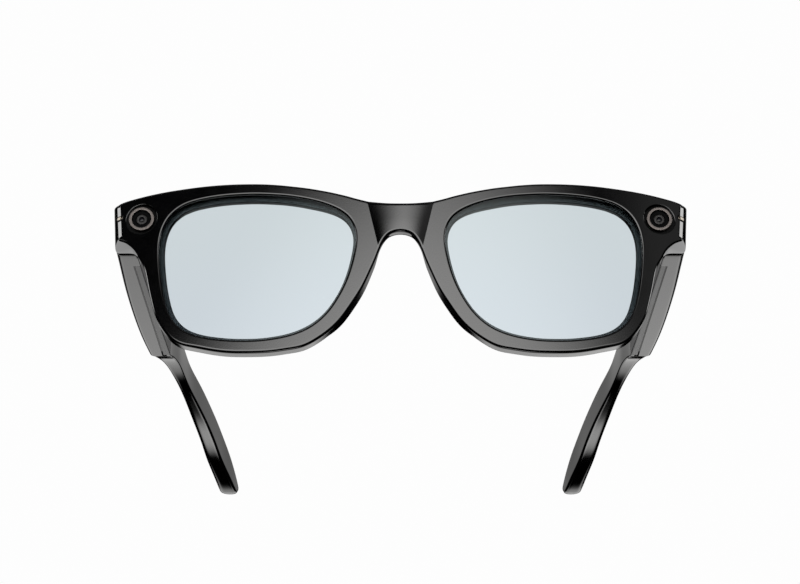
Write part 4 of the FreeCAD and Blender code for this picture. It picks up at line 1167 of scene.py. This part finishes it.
# ------------------------------------------------------------------ temples
# stations from front to back: low point (y, z), top point (y, z), inner x, outer x,
# then how far the inner and the outer side lean outwards from bottom to top
TEMPLE_FRONT = [
    (12.75, 10, 12.75, 21.5, 68.45, 73.85, 0, 1.1), (20, 10, 20, 21.5, 68.44, 74.17, 0, 0.93),
    (30, 10, 30, 21.5, 68.42, 74.63, 0, 0.7), (36, 10, 36, 21.5, 68.41, 74.85, 0, 0.58),
    (43, 10, 43, 21.5, 68.4, 75.02, 0, 0.45), (52, 10, 52, 21.5, 68.32, 75.12, 0, 0.25),
    (62, 10, 62, 21.5, 68.2, 75.07, 0, 0.08), (72, 10, 72, 21.5, 68.05, 74.76, 0, 0),
    (81, 10, 81, 21.5, 67.9, 74.2, 0, 0)]
TEMPLE_BACK = [
    TEMPLE_FRONT[-1], (83, 10.72, 83, 21.5, 67.78, 74.0, 0, 0.0),
    (86, 11.45, 86.1, 21.5, 67.5, 73.4, 0.05, 0.0),
    (89, 11.82, 89.4, 21.5, 67.15, 72.45, 0.1, 0.25),
    (92, 11.93, 92.9, 21.55, 66.75, 71.6, 0.25, 0.5),
    (96, 11.75, 97.6, 21.55, 66.35, 70.7, 0.5, 0.7),
    (100, 11.1, 102.6, 21.3, 65.9, 69.8, 0.75, 0.8),
    (106, 9.2, 110.0, 19.15, 64.75, 68.25, 0.95, 0.65),
    (112, 6.4, 117.0, 15.9, 62.85, 66.7, 0.5, 0.4),
    (119, 2.75, 124.2, 12.0, 60.5, 65.0, 0.35, 0.2),
    (126, -1.45, 130.8, 7.9, 58.35, 63.15, 0.25, 0.1),
    (132, -4.75, 136.8, 4.1, 56.95, 61.95, -0.25, 0.0),
    (138, -7.3, 142.4, 0.3, 55.55, 60.7, -0.6, 0.0),
    (143, -9.05, 147.4, -3.3, 54.45, 59.75, -0.75, 0.0),
    (147.2, -10.12, 151.6, -6.0, 53.75, 59.05, -0.75, 0.0),
    (151.0, -10.42, 154.7, -7.9, 53.4, 58.55, -0.75, 0.0)]
TEMPLE_START = TEMPLE_FRONT[0][0]
TEMPLE_FRONT_RINGS = 34
TIP = 3.4    # length over which the tip closes
# corner radii: inner low, outer low, outer top, inner top
RADII = np.array([0.45, 1.4, 1.0, 0.8])
RADII_BEHIND = np.array([0.3, -0.2, 0.3, 0.1])    # gained over the back part
RADII_TIP = np.array([0.4, 0.5, 0.6, 0.9])        # gained towards the tip
CORNER_STEPS = 8
# (inset, distance behind the front end) of the rings that ease the front end
FRONT_EASING = ((0.16, 0.0), (0.05, 0.05), (0.0, 0.16))


def temple_section(station, behind, total):
    """One ring of the temple; behind is how far it lies into a back part total long."""
    low_y, low_z, top_y, top_z, inner, outer, inner_lean, outer_lean = station
    height = math.hypot(top_y - low_y, top_z - low_z)
    width = outer - inner
    radii = (RADII + RADII_BEHIND * smoothstep(0, 40, behind)
             + RADII_TIP * smoothstep(total - 30, total - 4, behind))
    into_tip = max(0.0, (behind - (total - TIP)) / TIP)
    size = max(max(1 - into_tip ** 2.8, 0) ** (1 / 2.8), 0.02)
    radii = np.minimum(radii, 0.49 * size * min(height, width))
    left, right = inner + width * (1 - size) / 2, outer - width * (1 - size) / 2
    bottom, top = height * (1 - size) / 2, height * (1 + size) / 2
    inner_low, outer_low, outer_top, inner_top = radii
    corners = [
        quarter_arc(left + inner_low, bottom + inner_low, inner_low, 180, CORNER_STEPS),
        quarter_arc(right - outer_low, bottom + outer_low, outer_low, 270, CORNER_STEPS),
        quarter_arc(right - outer_top, top - outer_top, outer_top, 0, CORNER_STEPS),
        quarter_arc(left + inner_top, top - inner_top, inner_top, 90, CORNER_STEPS)]
    outline = []
    for corner, following, gaps in zip(corners, corners[1:] + corners[:1], (5, 8, 5, 8)):
        outline.extend(corner)
        outline.extend(mix(corner[-1], following[0], k / gaps) for k in range(1, gaps))
    across, up = np.array(outline).T
    up = up / height
    lean = mix(inner_lean, outer_lean, np.clip((across - inner) / width, 0, 1))
    return np.c_[across + lean * up, low_y + (top_y - low_y) * up, low_z + (top_z - low_z) * up]


def temple_loft(side, name):
    """The whole outer form of a temple."""
    front_part = spline(TEMPLE_FRONT, step=0.1)
    back_part = smoothed(spline(TEMPLE_BACK, step=0.1), 1.2, 0.1)
    back_part[0] = front_part[-1]
    front_lengths = arc_lengths(front_part[:, :1])
    back_lengths = arc_lengths(back_part[:, :2])
    total = back_lengths[-1]
    front_at = np.linspace(0, front_lengths[-1], TEMPLE_FRONT_RINGS)
    back_at = np.concatenate([
        np.linspace(0, 12, 19)[1:], np.linspace(12, total - TIP, 76)[1:],
        total - TIP + TIP * np.sin(np.linspace(0, np.pi / 2, 22))[1:]])
    rings = [temple_section(station, 0.0, total)
             for station in sample(front_part, front_lengths, front_at)]
    rings += [temple_section(station, behind, total)
              for behind, station in zip(back_at, sample(back_part, back_lengths, back_at))]

    # the front end has a small easing
    first = rings[0]
    centre = (first.min(0) + first.max(0)) / 2
    half = (first.max(0) - first.min(0)) / 2
    easing = []
    for inset, behind in FRONT_EASING:
        ring = first.copy()
        for axis in (0, 2):
            ring[:, axis] = centre[axis] + (first[:, axis] - centre[axis]) * (
                1 - inset / half[axis])
        ring[:, 1] = TEMPLE_START + behind
        easing.append(ring)
    rings = easing + rings[1:]
    verts = upright(np.vstack(rings) * (side, 1, 1))
    columns = len(first)
    piece = make_object(name, verts, tube_faces(len(rings), columns), sharp_degrees=46)

    # where the back part starts, a crisp line runs under the temple and round the outer corner
    start = (len(easing) + TEMPLE_FRONT_RINGS - 2) * columns
    line = verts[start:start + 9 + 4 + 9 + 2]
    places = vertex_places(piece.data)
    order = {int(np.argmin(((places - point) ** 2).sum(1))): i for i, point in enumerate(line)}
    for edge in piece.data.edges:
        a, b = edge.vertices
        if a in order and b in order and abs(order[a] - order[b]) == 1:
            edge.use_edge_sharp = True
    return piece


def rounded_outline(a_range, b_range, radius, steps, inset=0.0):
    """A rectangle with rounded corners, optionally shrunk by an inset."""
    a_low, a_high = a_range[0] + radius, a_range[1] - radius
    b_low, b_high = b_range[0] + radius, b_range[1] - radius
    corners = ((a_high, b_high, 0), (a_low, b_high, 90), (a_low, b_low, 180),
               (a_high, b_low, 270))
    return np.vstack([quarter_arc(a, b, radius - inset, start, steps)
                      for a, b, start in corners])


def box_tool(side, x_range, y_range, z_range):
    """A plain cutting block."""
    verts = [(x, y, z) for x in sorted(side * x for x in x_range)
             for y in y_range for z in z_range]
    faces = [(0, 1, 3, 2), (4, 6, 7, 5), (0, 4, 5, 1), (2, 3, 7, 6), (0, 2, 6, 4), (1, 5, 7, 3)]
    return make_object("tool", upright(verts), faces)


def rounded_tool(side, x_range, y_range, z_range, radius, along):
    """A cutting block that runs along x or z, with rounded corners round that axis."""
    if along == "x":
        outline = rounded_outline(y_range, z_range, radius, 8)
        verts = [(side * x, y, z) for x in x_range for y, z in outline]
    else:
        outline = rounded_outline(x_range, y_range, radius, 8)
        verts = [(side * x, y, z) for z in z_range for x, y in outline]
    count = len(outline)
    faces = [tuple(range(count)), tuple(range(2 * count - 1, count - 1, -1))]
    faces += [(i, (i + 1) % count, count + (i + 1) % count, count + i) for i in range(count)]
    return make_object("tool", upright(verts), faces)


def carve(piece, tools, operation="DIFFERENCE"):
    for tool in tools:
        cut = piece.modifiers.new("cut", "BOOLEAN")
        cut.operation = operation
        cut.object = tool
        cut.solver = "EXACT"
        bpy.context.view_layer.update()
        graph = bpy.context.evaluated_depsgraph_get()
        carved = bpy.data.meshes.new_from_object(piece.evaluated_get(graph))
        piece.modifiers.remove(cut)
        uncut = piece.data
        piece.data = carved
        bpy.data.meshes.remove(uncut)
        tool_mesh = tool.data
        bpy.data.objects.remove(tool)
        bpy.data.meshes.remove(tool_mesh)


def clean_carved(piece, bevel=0.0):
    """Welds a carved piece, marks its sharp edges and evens its shading."""
    work = bmesh.new()
    work.from_mesh(piece.data)
    bmesh.ops.remove_doubles(work, verts=work.verts, dist=3e-7)
    bmesh.ops.dissolve_degenerate(work, edges=work.edges, dist=3e-7)
    shade(work, sharp_degrees=34)
    work.to_mesh(piece.data)
    work.free()
    piece.data.name = piece.name
    if bevel:
        add_bevel(piece, bevel)
    weighted = piece.modifiers.new("normals", "WEIGHTED_NORMAL")
    weighted.keep_sharp = True
    weighted.weight = 90


# (x, y, z) ranges cut out of the shell
SHELL_CUTS = [
    ((60, 69.9), (18.95, 80.05), (5, 25)),               # room for the cover on the inner side
    ((69.0, 70.35), (18.95, 80.9), (9.0, 10.75)),        # step along the underside
    ((68.9, 72.9), (26, 78), (11.4, 20.1)),              # long hollow
    ((68.9, 71.23), (14.87, 24.03), (12.57, 19.43)),     # short hollow near the front end
    ((66.45, 70.6), (14.87, 16.33), (13.92, 18.08))]     # upright slot through the inner side


def build_temple(side, tag):
    shell = temple_loft(side, "temple_shell_look_" + tag)
    tools = [box_tool(side, *ranges) for ranges in SHELL_CUTS]
    if side < 0:
        # well for the button
        tools.append(rounded_tool(side, (71.6 - 1.2, 71.6 + 1.2), (33.9, 43.1), (19.6, 23),
                                  radius=1.1, along="z"))
    carve(shell, tools)
    clean_carved(shell)
    install(shell, "frame_black", "temple_" + tag, "temple_shell_" + tag)

    # the cover is the same form, cut down to the inner side
    cover = temple_loft(side, "temple_cover_look_" + tag)
    carve(cover, [box_tool(side, (60, 69.87), (19.0, 80.0), (5, 25))], "INTERSECT")
    slots = [rounded_tool(side, (60, 75), (66.5, 74.5), (12.6, 13.4), radius=0.39, along="x")]
    if side > 0:
        # slot for the slider
        slots.append(rounded_tool(side, (60, 75), (28.5, 33.7), (15.0, 17.0),
                                  radius=0.5, along="x"))
    carve(cover, slots)
    clean_carved(cover, bevel=0.07)
    install(cover, "cover_black", "temple_" + tag, "temple_cover_" + tag)


for side, tag in SIDES:
    build_temple(side, tag)


# ------------------------------------------------------------------ button and slider
def pill(name, a_range, b_range, ends, radius, easing, along, crown=0.0):
    """A rounded block from ends[0] to ends[1], with an eased and slightly crowned face.

    Its outline lies in (x, y) when it stands along z, and in (y, z) when along x.
    """
    base, face = ends
    sign = 1 if face > base else -1
    outline = rounded_outline(a_range, b_range, radius, 12)
    loops = [(outline, base), (outline, face - sign * easing)]
    for k in range(1, 6):
        turn = math.pi / 2 * k / 5
        inset = easing * (1 - math.cos(turn))
        loops.append((rounded_outline(a_range, b_range, radius, 12, inset),
                      face - sign * easing * (1 - math.sin(turn))))
    # the face closes towards the outline's middle line
    rim = loops[-1][0]
    low, high = np.array([a_range, b_range]).T
    half = min(high - low) / 2
    middle_line = np.clip(rim, low + half, high - half)
    for k in range(1, 6):
        t = k / 5
        loops.append((rim + (middle_line - rim) * t * 0.98,
                      face + sign * crown * (1 - (1 - t) ** 2)))
    rings = []
    for points, level in loops:
        levels = np.full(len(points), level)
        rings.append(np.c_[points, levels] if along == "z" else np.c_[levels, points])
    faces = tube_faces(len(loops), len(outline))
    return make_object(name, upright(np.vstack(rings)), faces, sharp_degrees=45)


button = pill("capture_button_look", (-72.7, -70.5), (34.0, 43.0), ends=(20.3, 21.82),
              radius=1.0, easing=0.22, along="z", crown=0.03)
install(button, "button_black", "button", "capture_button")
slider = pill("power_slider_look", (28.6, 32.0), (15.1, 16.9), ends=(70.0, 68.15),
              radius=0.42, easing=0.16, along="x")
install(slider, "button_black", "slider", "power_slider")
RIB_PITCH = 0.62
for i in range(4):
    rib = pill("power_slider_rib_%d" % i, (29.2 + RIB_PITCH * i, 29.5 + RIB_PITCH * i),
               (15.35, 16.65), ends=(68.3, 67.98), radius=0.12, easing=0.08, along="x")
    install(rib, "button_black", "slider")

# ------------------------------------------------------------------ pieces kept from the CAD
NO_BEVEL = ("antenna", "touch_sensor", "front_flex", "temple_flex", "brow_cover")
slot_of = {part["node"]: part["material_slot"] for part in frame["record"]["subparts"]}
for name, piece in frame["nodes"].items():
    piece.data.materials.clear()
    piece.data.materials.append(MATERIALS[slot_of[name]])
    if not piece.hide_render:
        weld = piece.modifiers.new("weld", "WELD")
        weld.merge_threshold = 2e-7
        if not name.startswith(NO_BEVEL):
            add_bevel(piece, 0.05)

# ------------------------------------------------------------------ stage, light and camera
# From here on, places are in metres in the scene.
scene = bpy.context.scene
scene.view_settings.view_transform = "Standard"
scene.view_settings.look = "None"


def floor_material():
    """Pale floor that is not there when seen from underneath."""
    material, tree = new_material("floor_pale")
    shader = tree.nodes["Principled BSDF"]
    cloud = tree.add("TexNoise", {"Scale": 3}).outputs["Fac"]
    tree.feed(shader, {"Base Color": tree.colours(cloud, low=(0.80,) * 3, high=(0.84,) * 3),
                       "Roughness": 0.9, "Specular IOR Level": 0.1})
    below = tree.add("NewGeometry").outputs["Backfacing"]
    clear = tree.add("BsdfTransparent")
    both = tree.add("MixShader", {0: below, 1: shader.outputs[0], 2: clear.outputs[0]})
    tree.finish(both.outputs[0])
    return material


def build_floor():
    reach, z = 3, -0.0362
    mesh = bpy.data.meshes.new("floor")
    corners = [(-reach, -reach, z), (reach, -reach, z), (reach, reach, z), (-reach, reach, z)]
    mesh.from_pydata(corners, [], [(0, 1, 2, 3)])
    floor = bpy.data.objects.new("floor", mesh)
    scene.collection.objects.link(floor)
    mesh.materials.append(floor_material())
    floor.visible_glossy = False
    floor.visible_diffuse = False


def build_world():
    """Light panels painted on the sky by direction; the camera itself sees near white."""
    world = bpy.data.worlds.new("studio")
    scene.world = world
    tree = Shader(world)
    tree.nodes.clear()
    direction = tree.add("TexCoord").outputs["Generated"]
    x, y, z = tree.add("SeparateXYZ", {"Vector": direction}).outputs
    azimuth, height, soft = soft_box(tree, x, y, z)
    off_middle = tree.math("ABSOLUTE", x)
    turn = tree.math("ABSOLUTE", azimuth)
    # a faint panel to the right
    right = tree.product(
        tree.ramp(azimuth, start=24, end=33, after=0.38),
        tree.ramp(azimuth, start=36, end=60, before=1.0, after=0.0),
        tree.ramp(tree.math("ABSOLUTE", height), start=22, end=36, before=1.0, after=0.0))
    # two panels beside the object
    beside = tree.product(
        tree.ramp(turn, start=74, end=84, after=6.5),
        tree.ramp(turn, start=103, end=111, before=1.0, after=0.0),
        tree.ramp(height, start=4, end=12),
        tree.ramp(height, start=27, end=33, before=1.0, after=0.0))
    sweep = low_sweep(tree, x, y, height)
    # a bright panel almost straight below
    below = tree.product(
        tree.ramp(height, start=-72, end=-83, after=7.0),
        tree.ramp(y, start=0.03, end=0.09),
        tree.ramp(off_middle, start=0.36, end=0.26))
    # a dim overhead panel in front of the object, and a dim wall behind it
    overhead = tree.product(
        tree.ramp(y, start=0.0, end=-0.2, after=0.25),
        tree.ramp(height, start=33, end=42),
        tree.ramp(height, start=66, end=76, before=1.0, after=0.0))
    wall = tree.product(
        tree.ramp(y, start=0.0, end=0.35),
        tree.ramp(off_middle, start=0.60, end=0.48, after=0.42),
        tree.ramp(height, start=11, end=18),
        tree.ramp(height, start=50, end=38))

    def total(first, second):
        return tree.math("ADD", first, second)

    light = total(total(total(soft, right), below),
                  total(total(sweep, beside), total(overhead, wall)))
    lit = tree.add("Background", {"Color": (1.0, 0.995, 0.985, 1), "Strength": light})
    seen = tree.add("Background", {"Color": (0.985, 0.985, 0.985, 1)})
    camera_ray = tree.add("LightPath").outputs["Is Camera Ray"]
    both = tree.add("MixShader", {0: camera_ray, 1: lit.outputs[0], 2: seen.outputs[0]})
    tree.add("OutputWorld", {"Surface": both.outputs[0]})


def add_light(name, place, power):
    """A square area light aimed at the glasses."""
    target = Vector((0, 0.05, 0))
    light = bpy.data.lights.new(name, "AREA")
    light.shape = "SQUARE"
    light.size = 0.6
    light.energy = power
    lamp = bpy.data.objects.new(name, light)
    scene.collection.objects.link(lamp)
    lamp.location = place
    lamp.rotation_euler = (target - Vector(place)).to_track_quat("-Z", "Y").to_euler()
    lamp.visible_glossy = False
    lamp.visible_camera = False


def add_camera():
    """The view from in front and below, looking up."""
    camera = bpy.data.cameras.new("view")
    viewer = bpy.data.objects.new("view", camera)
    scene.collection.objects.link(viewer)
    viewer.location = (0, -0.40169, -0.20169)
    viewer.rotation_euler = (math.radians(114.5), 0, 0)
    camera.sensor_width = 36
    camera.lens = 78.8445
    camera.shift_x = -0.000625
    camera.clip_start = 0.01
    camera.clip_end = 20
    scene.camera = viewer


build_floor()
build_world()
add_light("key", place=(-0.35, -0.55, 0.75), power=4.0)
add_light("fill", place=(0.6, 0.3, 0.6), power=2.0)
add_camera()
